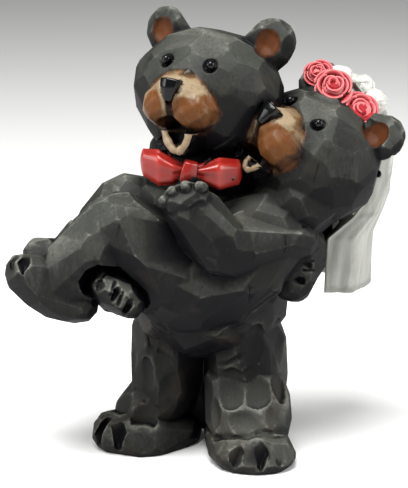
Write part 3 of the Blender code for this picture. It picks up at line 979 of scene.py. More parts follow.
SCOOPS = (
    Scoop((-29.2, -2.9, 17.1), (-0.75, -0.6, 0.3), 5.6, 4.8, 1.0, -12),
    Scoop((-21.4, -9.5, 13.6), (-0.1, -0.97, 0.1), 5.0, 4.8, 0.9),
    Scoop((-11.1, -10.7, 23.2), (0.15, -0.97, -0.12), 7.6, 5.2, 0.9, 4),
    Scoop((-20.6, -8.8, 26.5), (-0.55, -0.8, -0.05), 8.0, 3.0, 0.7, 6),
    Scoop((-25.0, -4.5, 33.0), (-0.85, -0.5, 0.0), 9.0, 3.2, 0.8, 5),
    Scoop((-16.0, -11.8, 36.5), (0.05, -1.0, 0.05), 7.0, 3.6, 0.6, 8),
    Scoop((9.8, -18.2, 26.0), (-0.1, -0.9, 0.42), 6.6, 5.2, 0.9),
    Scoop((18.4, -17.6, 26.6), (0.1, -0.9, 0.42), 7.0, 5.6, 0.9),
    Scoop((23.7, -24.2, 17.6), (0.45, -0.75, 0.5), 4.6, 5.6, 1.0),
    Scoop((12.3, -25.3, 15.6), (0.0, -0.8, 0.6), 4.2, 5.8, 0.9),
    Scoop((25.9, -14.0, 29.0), (0.75, -0.62, 0.2), 8.5, 3.3, 0.8, 4),
    Scoop((27.0, -9.0, 41.0), (0.8, -0.58, 0.1), 8.0, 3.4, 0.8, -4),
    Scoop((17.5, -15.5, 41.5), (0.35, -0.93, 0.0), 7.5, 3.8, 0.6, 10),
    Scoop((3.0, -19.0, 18.0), (-0.7, -0.68, 0.2), 6.0, 4.2, 0.9, -6),
    Scoop((-24.0, -7.0, 6.5), (-0.3, -0.8, 0.5), 4.0, 4.4, 0.6),
    Scoop((-20.0, 12.5, 22.0), (-0.5, 0.86, 0.0), 8.0, 4.6, 1.0),
    Scoop((-9.0, 15.5, 28.0), (0.0, 1.0, 0.0), 8.0, 4.8, 1.0),
    Scoop((9.0, 14.5, 27.0), (-0.1, 1.0, 0.0), 8.0, 4.8, 1.0),
    Scoop((20.0, 12.0, 24.0), (0.5, 0.86, 0.0), 8.0, 4.6, 1.0),
    Scoop((15.0, 12.0, 12.0), (0.1, 0.97, 0.2), 4.6, 5.2, 0.8),
    Scoop((-15.0, 13.0, 11.0), (-0.1, 0.97, 0.2), 4.6, 5.2, 0.8),
)
GROOVES = (
    Groove(((3.2, -22.8, 9.0), (15.5, -29.4, 12.0), (22.0, -28.0, 13.2), (30.0, -22.0, 11.3)), 2.2, 1.2, 1.0),
    Groove(((-20.5, -26.5, 58.0), (-16.4, -25.4, 54.0), (-12.3, -21.2, 48.6)), 4.5, 1.2, -1.7),
    Groove(((25.2, -28.8, 66.2), (16.2, -21.4, 55.3), (3.5, -23.3, 47.9)), 4.5, 1.2, -1.7),
    Groove(((-19.0, -21.0, 51.0), (-14.5, -19.0, 46.5)), 1.6, 4.0, 0.7),
    Groove(((20.0, -19.5, 55.0), (9.0, -21.0, 47.5)), 1.6, 4.5, 0.8),
    Groove(
        ((-15.8, -11.8, 38.5), (-9.7, -13.4, 34.6), (7.8, -16.1, 34.8), (13.5, -17.5, 38.5)),
        1.5, 1.4, 0.9,
    ),
)

CLAWS = (
    Groove(((-33.6, -38.0, 73.4), (-35.4, -38.0, 70.6)), 0.8, 0.8, 1.1),
    Groove(((-30.2, -38.0, 70.6), (-31.9, -38.0, 66.4)), 0.8, 0.8, 1.1),
    Groove(((-27.6, -38.0, 67.4), (-29.2, -38.0, 63.2)), 0.8, 0.8, 1.1),
    Groove(((-25.5, -38.0, 64.0), (-27.2, -37.5, 61.0)), 0.8, 0.8, 1.1),
    Groove(((34.5, -20.0, 75.0), (38.5, -20.0, 74.4)), 0.7, 0.7, 1.0),
    Groove(((34.5, -20.0, 71.4), (38.8, -20.0, 70.8)), 0.7, 0.7, 1.0),
    Groove(((33.5, -20.0, 67.2), (38.8, -20.0, 66.0)), 0.7, 0.7, 1.0),
)
KEPT_WHOLE = (
    ((-7, -37, 100), 12),
    ((34, -18, 71), 15),
    ((-30, -33, 65), 16),
    ((-5, -28, 108), 18),
    ((50, -4, 131), 14),
)
PAWS = (((-30, -34, 66), 9.0), ((36, -18, 70), 8.5))
SINK = {"bow": 2.2, "veil": 0.9, "nose": 1.6, "jaw": 1.5, "eye": 1.3}


@dataclass
class Casting:
    """The whole casting, cut finer than its solid."""

    voxel: float = 0.4
    faces: int = 188_000
    apart: float = 7.4
    seed: int = 11

    def build(self, node: bpy.types.Object) -> bpy.types.Object:
        """Copies the solid, cuts the fine carving and measures where the paint goes.

        Args:
            node: The solid's object.

        Returns:
            The finished piece.
        """
        Bench.clear()
        piece = bpy.data.objects.new("casting", node.data.copy())
        bpy.context.scene.collection.objects.link(piece)
        piece.data.materials.clear()
        self.merge(piece)
        solid = solid_tree(piece.data)
        Bench.hold(piece)
        piece.data.remesh_voxel_size = self.voxel * MM
        piece.data.remesh_voxel_adaptivity = 0
        bpy.ops.object.voxel_remesh()
        surface = Surface(piece)
        surface.soften(1, 0.5)
        self.sink_smooth_parts(surface)
        tones = self.carve(surface)
        hollow = np.maximum.reduce([face_fields(bear, surface.points)["rust"] for bear in BEARS])
        surface.soften(14, 0.5, np.clip(hollow + 0.3, 0, 1))
        lobes = np.maximum.reduce([face_fields(bear, surface.points)["lobe"] for bear in BEARS])
        surface.soften(10, 0.5, np.clip(lobes + 0.5, 0, 1))
        self.fill_paws(surface)
        surface.soften(1, 0.3)
        skin = np.column_stack((surface.points, *surface.ridges_and_creases(0.03, 0.085), tones))
        self.thin(piece)
        self.split_cracks(piece)
        self.measure(piece, solid, skin)
        Bench.smooth(piece, 30)
        piece.data.materials.append(CastingPaint().make())
        return piece

    @staticmethod
    def fill_paws(surface: Surface) -> None:
        """Fills the wide notches of the hands and cuts narrow ones between the fingers."""
        near = np.zeros(len(surface.points))
        for centre, reach in PAWS:
            gap = np.linalg.norm(surface.points - np.array(centre), axis=1)
            near = np.maximum(near, np.clip((reach - gap) / 2, 0, 1))
        normals = surface.normals()
        for _ in range(60):
            step = ((surface.around(surface.points) - surface.points) * normals).sum(1)
            surface.points += normals * (np.clip(step, 0, None) * near)[:, None]
        normals = surface.normals()
        for groove in CLAWS:
            path = []
            for x, y, z in groove.path:
                close = (np.abs(surface.points[:, 0] - x) < 0.5) & (np.abs(surface.points[:, 2] - z) < 0.5)
                path.append((x, float(surface.points[close, 1].min()) if close.any() else y, z))
            Groove(tuple(path), groove.above, groove.below, groove.deep).cut(surface, normals)

    @staticmethod
    def merge(piece: bpy.types.Object) -> None:
        """Welds the loose triangles of the copied solid."""
        Bench.hold(piece)
        bpy.ops.object.mode_set(mode="EDIT")
        bpy.ops.mesh.select_all(action="SELECT")
        bpy.ops.mesh.remove_doubles(threshold=1e-6)
        bpy.ops.object.mode_set(mode="OBJECT")

    @staticmethod
    def sink_smooth_parts(surface: Surface) -> None:
        """Thins the parts that are made apart, so that those stand clear of the casting."""
        normals = surface.normals()
        points = surface.points
        for eggs in (*BOW, (KNOT,)):
            weight = np.clip(chain(points, *eggs) / 0.8 + 1.5, 0, 1)
            points -= normals * (weight * SINK["bow"])[:, None]
        points -= normals * (np.clip(veil_depth(points) + 0.6, 0, 1) * SINK["veil"])[:, None]
        for bear in BEARS:
            own = bear.local(points) - np.array(bear.snout)
            weight = np.clip(chain(own, *NOSE) / 0.5 + 1.3, 0, 1)
            points -= normals * (weight * SINK["nose"])[:, None]
            near = np.flatnonzero(np.abs(own[:, 0]) < 9)
            scale, shift = bear.jaw(own[near])
            left = own[near, 0]
            on_jaw = (own[near, 1] < 32) & (own[near, 2] > bear.mouth[2] - 5)
            step = np.where(on_jaw, left * (scale - 1) + shift, 0)
            points[near] += step[:, None] * np.array(bear.matrix())[:, 0]
            _, _, bottom = bear.mouth
            weight = np.clip(chain(own, ((0, 20, bottom + 1.2), (6.1, 6.8, 3.8))) / 0.8 + 1.5, 0, 1)
            front = np.clip((own[:, 1] - 14) / 4, 0, 1)
            points -= normals * (weight * front * SINK["jaw"])[:, None]
            for eye in EYES:
                depth = egg(own + np.array(bear.snout), eye, (2.5, 4, 2.5))
                points -= normals * (np.clip(depth / 0.3, 0, 1) * SINK["eye"])[:, None]
        spots = [(centre, (radius * 1.12,) * 3, 0.5) for centre, radius in ROSES]
        spots += [(centre, radii, 0.6) for centre, radii in GATHERS]
        for centre, radii, keep in spots:
            centre = np.array(centre)
            away = points - centre
            weight = np.clip((1.15 - np.linalg.norm(away / np.array(radii), axis=1)) / 0.12, 0, 1)
            points[:] = centre + away * (1 - weight * (1 - keep))[:, None]

    def carve(self, surface: Surface) -> np.ndarray:
        """Cuts broad knife flats over the fur, then the scoops, grooves and crests.

        Args:
            surface: The skin to cut.

        Returns:
            The tone of each point's flat, 0 to 1, or -1 off them all.
        """
        rng = np.random.default_rng(self.seed)
        normals = surface.normals()
        for _ in range(6):
            normals = (normals + surface.around(normals)) / 2
        tree = KDTree(len(surface.points))
        for index, point in enumerate(surface.points):
            tree.insert(point, index)
        tree.balance()
        chosen: list[int] = []
        tones = np.full(len(surface.points), -1.0)
        for index in rng.permutation(np.flatnonzero(self.bare_fur(surface.points)))[:12000]:
            apart = surface.points[chosen] - surface.points[index]
            if not chosen or np.linalg.norm(apart, axis=1).min() > self.apart:
                chosen.append(index)
                tones[self.chamfer(surface, normals, tree, index)] = rng.random()
        for scoop in SCOOPS:
            scoop.cut(surface, tree)
        for groove in GROOVES:
            groove.cut(surface, normals)
        return tones

    @staticmethod
    def chamfer(surface: Surface, normals: np.ndarray, tree: KDTree, index: int) -> np.ndarray:
        """Cuts one knife flat where the skin bulges, and nothing where it is flat already.

        Args:
            surface: The skin to cut.
            normals: Its outward directions.
            tree: Its points, for finding those near.
            index: The point in the flat's middle.

        Returns:
            The points that lie on the new flat.
        """
        near = np.array([i for _, i, _ in tree.find_range(surface.points[index], 8.5)])
        away = surface.points[near] - surface.points[index]
        gap = np.linalg.norm(away, axis=1)
        out = normals[near[gap < 5]].mean(0)
        out /= np.linalg.norm(out)
        facing = normals[near] @ out > 0.5
        height = away @ out
        ring = (gap > 6) & (gap < 8) & facing
        if not ring.any():
            return near[:0]
        middle = height[gap < 2].mean()
        bulge = min(middle - height[ring].mean(), 1.3)
        level = middle - 0.7 * bulge
        gone = (height > level) & facing & (gap < 8)
        if bulge < 0.25 or (height[ring] < level).mean() < 0.8:
            return near[:0]
        surface.points[near[gone]] -= out * (height[gone] - level)[:, None]
        return near[gone]

    @staticmethod
    def bare_fur(points: np.ndarray) -> np.ndarray:
        """Which points are plain fur, away from faces, ears, hands, toes and veil."""
        keep = points[:, 2] > 5
        for bear in BEARS:
            own = bear.local(points)
            keep &= egg(own, (0, 20, -8), (16, 18, 16)) < 0
            for eye, ear in zip(EYES, bear.ears):
                keep &= egg(own, eye, (5.5, 5.5, 5.5)) < 0
                keep &= egg(own, (ear[0], 1, ear[1]), (11, 10, 11)) < 0
        for centre, reach in KEPT_WHOLE:
            keep &= np.linalg.norm(points - np.array(centre), axis=1) > reach
        keep &= veil_depth(points) < -2.5
        return keep

    def thin(self, piece: bpy.types.Object) -> None:
        """Collapses the flat parts until the piece has its budget of triangles."""
        Bench.apply(piece, "TRIANGULATE")
        ratio = self.faces / len(piece.data.polygons)
        if ratio < 1:
            Bench.apply(piece, "DECIMATE", ratio=ratio)

    @staticmethod
    def split_cracks(piece: bpy.types.Object) -> None:
        """Cuts the cracks as thin wedges, deepest in the middle."""
        solid = solid_tree(piece.data)
        blades = []
        for crack in CRACKS:
            ends = [solid.find_nearest(Vector(end)) for end in (crack.start, crack.end)]
            start, end = ends[0][0], ends[1][0]
            out = (ends[0][1] + ends[1][1]).normalized()
            middle = solid.find_nearest((start + end) / 2)[0]
            along = end - start
            across = out.cross(along).normalized() * crack.width / 2
            bpy.ops.mesh.primitive_cube_add(size=2)
            blade = Bench.take("crack")

            def bend(co: Vector) -> Vector:
                """One corner of the blade: pointed at both ends."""
                taper = Vector((co.x, co.y * (1 - abs(co.x) * 0.85), co.z))
                top = taper.z > 0
                at = middle + along * (0.5 * taper.x)
                rise = 0.5 if top else -crack.depth
                side = across * (taper.y * (1.5 if top else 0.35))
                return (at + out * rise + side + MOVED) * MM

            Bench.hold(blade)
            bpy.ops.object.mode_set(mode="EDIT")
            bpy.ops.mesh.select_all(action="SELECT")
            bpy.ops.mesh.subdivide(number_cuts=1)
            bpy.ops.object.mode_set(mode="OBJECT")
            Bench.shape(blade, bend)
            blades.append(blade)
        cutter = Bench.join("cracks", blades)
        Bench.hold(piece)
        Bench.apply(piece, "BOOLEAN", operation="DIFFERENCE", solver="EXACT", object=cutter)
        bpy.data.objects.remove(cutter)

    @staticmethod
    def measure(piece: bpy.types.Object, solid: BVHTree, skin: np.ndarray) -> None:
        """Stores the fields that the paint reads.

        Args:
            piece: The finished mesh.
            solid: The faceted solid, for its flats.
            skin: The skin before thinning: place, outward turn, inward turn and tone of flat.
        """
        surface = Surface(piece)
        points = surface.points
        tree = KDTree(len(skin))
        for index, row in enumerate(skin):
            tree.insert(row[:3], index)
        tree.balance()
        ridge, groove, tones = skin[[tree.find(point)[1] for point in points], 3:].T
        # Painted shade: darker where the open space round a point is closed off, and in inward turns.
        closed = surface.blur(shut_in(surface, solid_tree(piece.data)), 2)
        surface.paint("recess", np.clip(closed * 2.5 - 0.18 + groove * 0.45, 0, 1))
        facet = np.empty(len(points))
        for i, point in enumerate(points):
            flat = solid.find_nearest(Vector(point))[1]
            facet[i] = (math.sin(flat.x * 41.3 + flat.y * 17.7 + flat.z * 29.1) * 43.7) % 1.0
        facet = np.where(tones < 0, facet, tones)
        # Painted light: how far each point faces a light from above and a little in front; paints upper sides
        # lighter and lower sides darker.
        lit = surface.normals() @ np.array((-0.12, -0.22, 0.92))
        surface.paint("facet", facet)
        surface.paint("lit", surface.blur(lit, 1))
        surface.paint("height", points[:, 2] / 160)
        names = ("tan", "lobe", "cream", "stain", "rust", "mouth", "socket")
        fields = {name: np.full(len(points), -4.0) for name in names}
        for bear in BEARS:
            for name, values in face_fields(bear, points).items():
                fields[name] = np.maximum(fields[name], values)
        surface.paint("ridge", ridge * np.clip(-fields["socket"] / 1.5 - 0.8, 0, 1))
        bow = [chain(points, *eggs) for eggs in (*BOW, (KNOT,))]
        hearts = [egg(points, centre, (radius * 0.78,) * 3) for centre, radius in ROSES]
        fields["red"] = np.maximum.reduce(bow) - 0.4
        fields["rosy"] = np.maximum.reduce(hearts)
        gathers = [egg(points, centre, radii) for centre, radii in GATHERS]
        fields["veil"] = np.maximum.reduce([veil_depth(points), *gathers])
        fields["crack"] = crack_depth(points)
        for name, values in fields.items():
            surface.paint(name, np.clip(values, -4, 8))


def face_fields(bear: Bear, points: np.ndarray) -> dict[str, np.ndarray]:
    """Where the paints of one face go, as depths inside each patch in millimetres.

    Args:
        bear: Whose face.
        points: Rows of coordinates.

    Returns:
        The depths by the name of the patch.
    """
    own = bear.local(points)
    snout = own - np.array(bear.snout)
    scale, shift = bear.jaw(snout)
    snout[:, 0] = np.where(snout[:, 2] > bear.mouth[2] - 5, (snout[:, 0] - shift) / scale, snout[:, 0])
    left, forward, up = snout.T
    top, widest, bottom = bear.mouth
    front = forward > 14
    muzzle = chain(snout, *MUZZLE)
    for side in (-1, 1):
        lip = (((x * side, y, z), radii) for (x, y, z), radii in LIP)
        muzzle = np.maximum(muzzle, chain(snout, *lip))
    jaw = chain(snout, ((0, 20, bottom + 1.2), (6.1, 6.8, 3.8)), ((0, 8, bottom + 4), (6.4, 7, 6)))
    jaw = np.where(forward > 15.5, jaw, -4)
    gape = 3.6
    corners = (
        (0, top + 0.6),
        (-gape * 0.8 - 0.4, top - 1.3),
        (-gape - 0.9, widest),
        (-0.7, bottom),
        (0.7, bottom),
        (gape + 0.9, widest),
    )
    flat = snout[:, ::2]
    hole = flat_depth(flat, corners)
    own_throat = ((2.9, -18.6), (4.9, 5.4)) if bear is GROOM else ((2.8, -18.6), (3.0, 3.6))
    throat = egg(flat, *own_throat)
    own_lobe = ((6.2, -10.2), (6.4, 6.0)) if bear is GROOM else ((7.6, -8.6), (7.4, 6.6))
    lips = np.maximum(egg(flat, *own_lobe), egg(flat, (-6.4, -9.2), (3.9, 6.6)))
    bridge = egg(flat, (0, -0.6), (8.5, 3.6))
    if bear is GROOM:
        bridge = np.maximum(bridge, egg(flat, (8.4, -3.6), (4.0, 4.6)))
    lip_rim = np.where(up < widest + 2.6, 0.75 - abs(hole + 1.35), -4)
    philtrum = np.minimum(1.1 - abs(left), np.minimum(-6.4 - up, up - top + 1.5))
    corner = np.where(up > widest, 0.9 + np.minimum(hole, 0), -4)
    opening = np.where((forward > 11) & (forward < 29.5), hole + 0.3, -4)
    fields = {
        "tan": muzzle + 1.25,
        "lobe": np.where(front, lips, -4),
        "cream": np.where(front, np.maximum(bridge, lip_rim), -4),
        "stain": np.where(front, np.maximum(philtrum, corner), -4),
        "mouth": np.maximum(np.minimum(jaw + 0.5, throat), opening),
        "rust": np.full(len(points), -4.0),
        "socket": np.full(len(points), -4.0),
    }
    for eye, ear in zip(EYES, bear.ears):
        fields["rust"] = np.maximum(fields["rust"], egg(own, (ear[0], 3.7, ear[1] - 0.7), (4.8, 6.0, 5.3)))
        fields["socket"] = np.maximum(fields["socket"], egg(own, (eye[0], eye[1] + 0.8, eye[2]), (2.9,) * 3))
    return fields


def flat_depth(points: np.ndarray, corners: Sequence[Vec]) -> np.ndarray:
    """How far inside a convex outline points lie.

    Args:
        points: Rows of two coordinates.
        corners: The outline, anticlockwise.

    Returns:
        The depth, negative outside.
    """
    depth = np.full(len(points), 1e3)
    for start, end in zip(corners, (*corners[1:], corners[0])):
        start, along = np.array(start), np.array(end) - np.array(start)
        inward = np.array((-along[1], along[0])) / np.linalg.norm(along)
        depth = np.minimum(depth, (points - start) @ inward)
    return depth


def crack_depth(points: np.ndarray) -> np.ndarray:
    """How far inside a painted crack line each point lies, in millimetres."""
    best = np.full(len(points), -2.0)
    for crack in CRACKS:
        gap = line_gap(points, (crack.start, crack.end))[0]
        best = np.maximum(best, np.where(gap < 1.2, crack.width * 0.62 - gap, -2))
    return best


# The veil

VEIL_AXIS = (45.0, 10.0)
VEIL_ROWS = (
    (133, (53, 1), (57, 4), (58, 9), (54, 13), (48, 15), (42, 15)),
    (122, (61.5, 4), (64.8, 7), (65, 11), (61, 17), (52, 21), (40, 22)),
    (110, (62.5, -1), (68, 6), (67.5, 12), (62, 20), (51, 24), (38, 25)),
    (100, (59.5, -6), (66.5, 2), (67, 12), (60, 22), (49, 27), (36, 28)),
    (93, (57, -8), (64, -1), (66.5, 9), (60, 21), (48.5, 27.5), (35, 29)),
    (87, (52.5, -9), (61, -4), (64.5, 8), (59.5, 20), (48, 28), (34, 30)),
    (79, (43.5, -8), (55, -6.5), (61, 5), (60, 18), (50, 28), (35, 31)),
    (58.3, (43, -6), (53, -6), (60, 4), (61, 16), (52, 28), (37, 32)),
)
HEM = 58.3


def veil_plan(height: np.ndarray, share: np.ndarray) -> np.ndarray:
    """The veil's outer skin without its folds.

    Args:
        height: Heights above the floor.
        share: 0 at the near edge to 1 at the far edge.

    Returns:
        Rows of x and y.
    """
    levels = [row[0] for row in VEIL_ROWS[::-1]]
    at = np.clip(share, 0, 1) * 5
    low = np.minimum(at.astype(int), 4)
    part = at - low
    grid = np.array([row[1:] for row in VEIL_ROWS[::-1]], float)
    column = [np.stack([np.interp(height, levels, grid[:, c, k]) for k in range(2)], 1) for c in range(6)]
    column = np.stack(column)
    pick = np.arange(len(height))

    def knot(i: np.ndarray) -> np.ndarray:
        """A control column, repeated past the ends."""
        return column[np.clip(i, 0, 5), pick]

    a, b, c, d = knot(low - 1), knot(low), knot(low + 1), knot(low + 2)
    t = part[:, None]
    return 0.5 * (2 * b + (c - a) * t + (2 * a - 5 * b + 4 * c - d) * t**2 + (3 * b - a - 3 * c + d) * t**3)


def veil_depth(points: np.ndarray) -> np.ndarray:
    """How far inside the veil's slab points lie, in millimetres, negative outside."""
    result = np.full(len(points), -9.0)
    shares = np.linspace(0, 1, 26)
    for low in range(57, 134):
        band = np.flatnonzero((points[:, 2] >= low) & (points[:, 2] < low + 1))
        if not len(band):
            continue
        outline = veil_plan(np.full(26, low + 0.5), shares)
        gap = np.linalg.norm(points[band, None, :2] - outline[None], axis=2)
        near = gap.argmin(1)
        skin = outline[near]
        axis = np.array(VEIL_AXIS)
        away = np.linalg.norm(skin - axis, axis=1) - np.linalg.norm(points[band, :2] - axis, axis=1)
        inside = np.minimum(away + 0.6, 5.0 - away)
        past_edge = 1.6 - gap.min(1) + np.clip(away, 0, 4.4)
        result[band] = np.where((near == 0) | (near == 25), np.minimum(inside, past_edge), inside)
    return result


@dataclass
class Veil:
    """The veil's hanging sheet and the gathered cloth under the roses."""

    columns: int = 150
    rows: int = 90
    thickness: float = 5.1
    fold: float = 0.85
    proud: float = 0.35

    def skin(self, share: np.ndarray, height: np.ndarray, inward: float) -> np.ndarray:
        """Points on a face of the sheet.

        Args:
            share: 0 at the near edge to 1 at the far edge.
            height: Heights above the floor.
            inward: How far in from the outer skin.

        Returns:
            Rows of x, y, z.
        """
        plan = veil_plan(height, share)
        fall = np.clip((133 - height) / 30, 0, 1)
        waves = 0.5 - 0.5 * np.cos(share * 10 * math.pi + 0.35 * np.sin(height * 0.09))
        fine = 0.16 * np.sin(share * 47 + np.sin(height * 0.13) * 1.6)
        fine = fine + 0.1 * np.sin(share * 91 - height * 0.05)
        depth = waves * self.fold + fine * fall + inward
        axis = np.array(VEIL_AXIS) - plan
        axis /= np.linalg.norm(axis, axis=1)[:, None]
        plan = plan + axis * depth[:, None]
        return np.column_stack((plan, height))

    def sheet(self) -> bpy.types.Object:
        """Bends a flat slab round the bride's back, with soft folds."""
        Bench.clear()
        bpy.ops.mesh.primitive_grid_add(x_subdivisions=self.columns, y_subdivisions=self.rows, size=2)
        sheet = Bench.take("veil")
        Bench.apply(sheet, "SOLIDIFY", thickness=0.5, offset=0)
        Bench.hold(sheet)
        surface = Surface(sheet)
        flat = (surface.points + np.array(MOVED)) * MM
        share = (flat[:, 0] + 1) / 2
        height = HEM + (133.4 - HEM) * (flat[:, 1] + 1) / 2
        outer = flat[:, 2] < 0
        rim = np.minimum(np.minimum(share, 1 - share) * 70, height - HEM)
        round_off = np.clip(1 - rim / 1.2, 0, 1) ** 2 * 0.9
        out = self.skin(share, height, -self.proud)
        inner = self.skin(share, height, self.thickness - self.proud)
        step = inner - out
        step /= np.linalg.norm(step, axis=1)[:, None]
        step_in = step * round_off[:, None]
        surface.points = np.where(outer[:, None], out + step_in, inner - step_in)
        edge = (height > 132) & ~outer
        surface.points[edge] = out[edge] + step[edge] * 2.5
        surface.write()
        return sheet

    def gather(self) -> bpy.types.Object:
        """Crumples three soft lumps of cloth into one."""
        lumps = []
        for centre, radii in GATHERS:
            Bench.clear()
            bpy.ops.mesh.primitive_ico_sphere_add(subdivisions=5, radius=MM)
            lump = Bench.take("lump")

            def crumple(co: Vector) -> Vector:
                """One point of the crumpled lump."""
                way = co.normalized()
                spot = way * 2.1 + Vector(centre) * 0.31
                ripple = abs(noise.noise(spot * 0.9)) * 0.30 + abs(noise.noise(spot * 2.9)) * 0.2
                size = 1.2 - ripple
                return (Vector(c + w * r * size for c, w, r in zip(centre, way, radii)) + MOVED) * MM

            Bench.shape(lump, crumple)
            lumps.append(lump)
        cloth = Bench.join("veil_gather", lumps)
        cloth.data.remesh_voxel_size = 0.3 * MM
        Bench.hold(cloth)
        bpy.ops.object.voxel_remesh()
        surface = Surface(cloth)
        surface.soften(4)
        surface.write()
        return cloth

    def build(self, solid: BVHTree) -> list[bpy.types.Object]:
        """Makes and paints both pieces.

        Args:
            solid: The casting, for what closes the folds off.

        Returns:
            The pieces.
        """
        made = [self.sheet(), self.gather()]
        crumpled = ClothPaint("gathered veil paint", (0.44, 0.44, 0.405), (0.17, 0.17, 0.155), tall=1.5)
        for piece, paint in zip(made, (ClothPaint(), crumpled)):
            dress(piece, paint.make(), solid, 6)
        return made


def dress(piece: bpy.types.Object, paint: bpy.types.Material, solid: BVHTree, rays: int = 8) -> None:
    """Gives a smooth piece its fields, its shading and its paint.

    Args:
        piece: The piece.
        paint: Its material.
        solid: What may close its folds off.
        rays: How many rays measure that.
    """
    surface = Surface(piece)
    ridge, groove = surface.ridges_and_creases()
    own = solid_tree(piece.data)
    # Painted shade: darker where the piece is closed off by the casting or by itself, and in inward turns.
    closed = np.maximum(shut_in(surface, solid, 5, rays), shut_in(surface, own, 4, rays))
    surface.paint("ridge", surface.blur(ridge, 1))
    surface.paint("recess", np.clip(surface.blur(closed, 1) * 1.6 - 0.2 + groove * 0.6, 0, 1))
    Bench.smooth(piece, 60)
    piece.data.materials.clear()
    piece.data.materials.append(paint)


# The small glossy pieces


class Side(Enum):
    """The two wings of the bow, by their place in the picture."""

    LEFT = -1
    RIGHT = 1


@dataclass
class BowTie:
    """Two swelling wings with folds that run out of a knot."""

    def wing(self, side: Side) -> bpy.types.Object:
        """Shapes one wing from a sphere whose poles lie along the wing.

        Args:
            side: Which wing.

        Returns:
            The wing.
        """
        if side is Side.LEFT:
            path = ((-6.0, -29.4, 107.6), (-10.5, -29.2, 107.6), (-15.5, -27.6, 108.6), (-21.8, -24.0, 110.2))
            tall, deep = (2.6, 4.9, 6.9, 4.7), (2.4, 3.4, 3.9, 2.5)
        else:
            path = ((-4.4, -29.4, 107.4), (-0.5, -29.4, 107.0), (5.2, -27.6, 106.4), (13.2, -21.6, 106.0))
            tall, deep = (2.4, 3.7, 6.2, 4.4), (2.4, 3.2, 4.5, 3.1)
        Bench.clear()
        sideways = (0, math.radians(90), 0)
        bpy.ops.mesh.primitive_uv_sphere_add(segments=64, ring_count=40, radius=1, rotation=sideways)
        wing = Bench.take("wing")
        stations = (0, 1, 2, 3)

        def bend(co: Vector) -> Vector:
            """One point of the wing."""
            along = (co.x + 1) / 2 if side is Side.RIGHT else (1 - co.x) / 2
            at = along * 3
            centre = Vector(float(np.interp(at, stations, [p[k] for p in path])) for k in range(3))
            high, wide = (float(np.interp(at, stations, sizes)) for sizes in (tall, deep))
            ring = math.hypot(co.y, co.z)
            angle = math.atan2(co.z, -co.y)
            girth = min(1.0, ring * 2.3)
            fold = 1 - 0.13 * (1 - along) ** 0.7 * (1 + math.cos(5 * angle + 0.6))
            fold -= 0.05 * math.cos(3 * angle + 2.2)
            flat = 1 - 0.06 * abs(math.sin(2 * angle + along * 2.0))
            reach = girth * fold * flat
            step = Vector((0, -math.cos(angle) * wide * reach, math.sin(angle) * high * reach))
            return (centre + step + MOVED) * MM

        Bench.shape(wing, bend)
        return wing

    def knot(self) -> bpy.types.Object:
        """A squeezed block between the wings, with two flats and rounded edges."""
        centre, radii = KNOT
        Bench.clear()
        bpy.ops.mesh.primitive_cube_add(size=2)
        knot = Bench.take("knot")
        Bench.apply(knot, "SUBSURF", subdivision_type="SIMPLE", levels=1, render_levels=1)

        lean = Matrix.Rotation(math.radians(14), 3, "Y")

        def pinch(co: Vector) -> Vector:
            """One corner of the knot: fuller in the middle, its right side falling back."""
            full = 1.16 - 0.2 * abs(co.z) - 0.1 * abs(co.x)
            step = Vector((co.x * 2.7 * full, co.y * radii[1] * full, co.z * 3.7))
            step.y += 0.9 if co.x > 0.5 and co.y < 0 else -0.4
            return (Vector(centre) + lean @ step + MOVED) * MM

        Bench.shape(knot, pinch)
        Bench.apply(knot, "BEVEL", width=0.5 * MM, segments=2)
        Bench.apply(knot, "SUBSURF", levels=2, render_levels=2)
        return knot

    def build(self, solid: BVHTree) -> bpy.types.Object:
        """Joins wings and knot and paints them red."""
        bow = Bench.join("bow_tie", [self.wing(Side.LEFT), self.wing(Side.RIGHT), self.knot()])
        dress(bow, RED.make(), solid)
        return bow


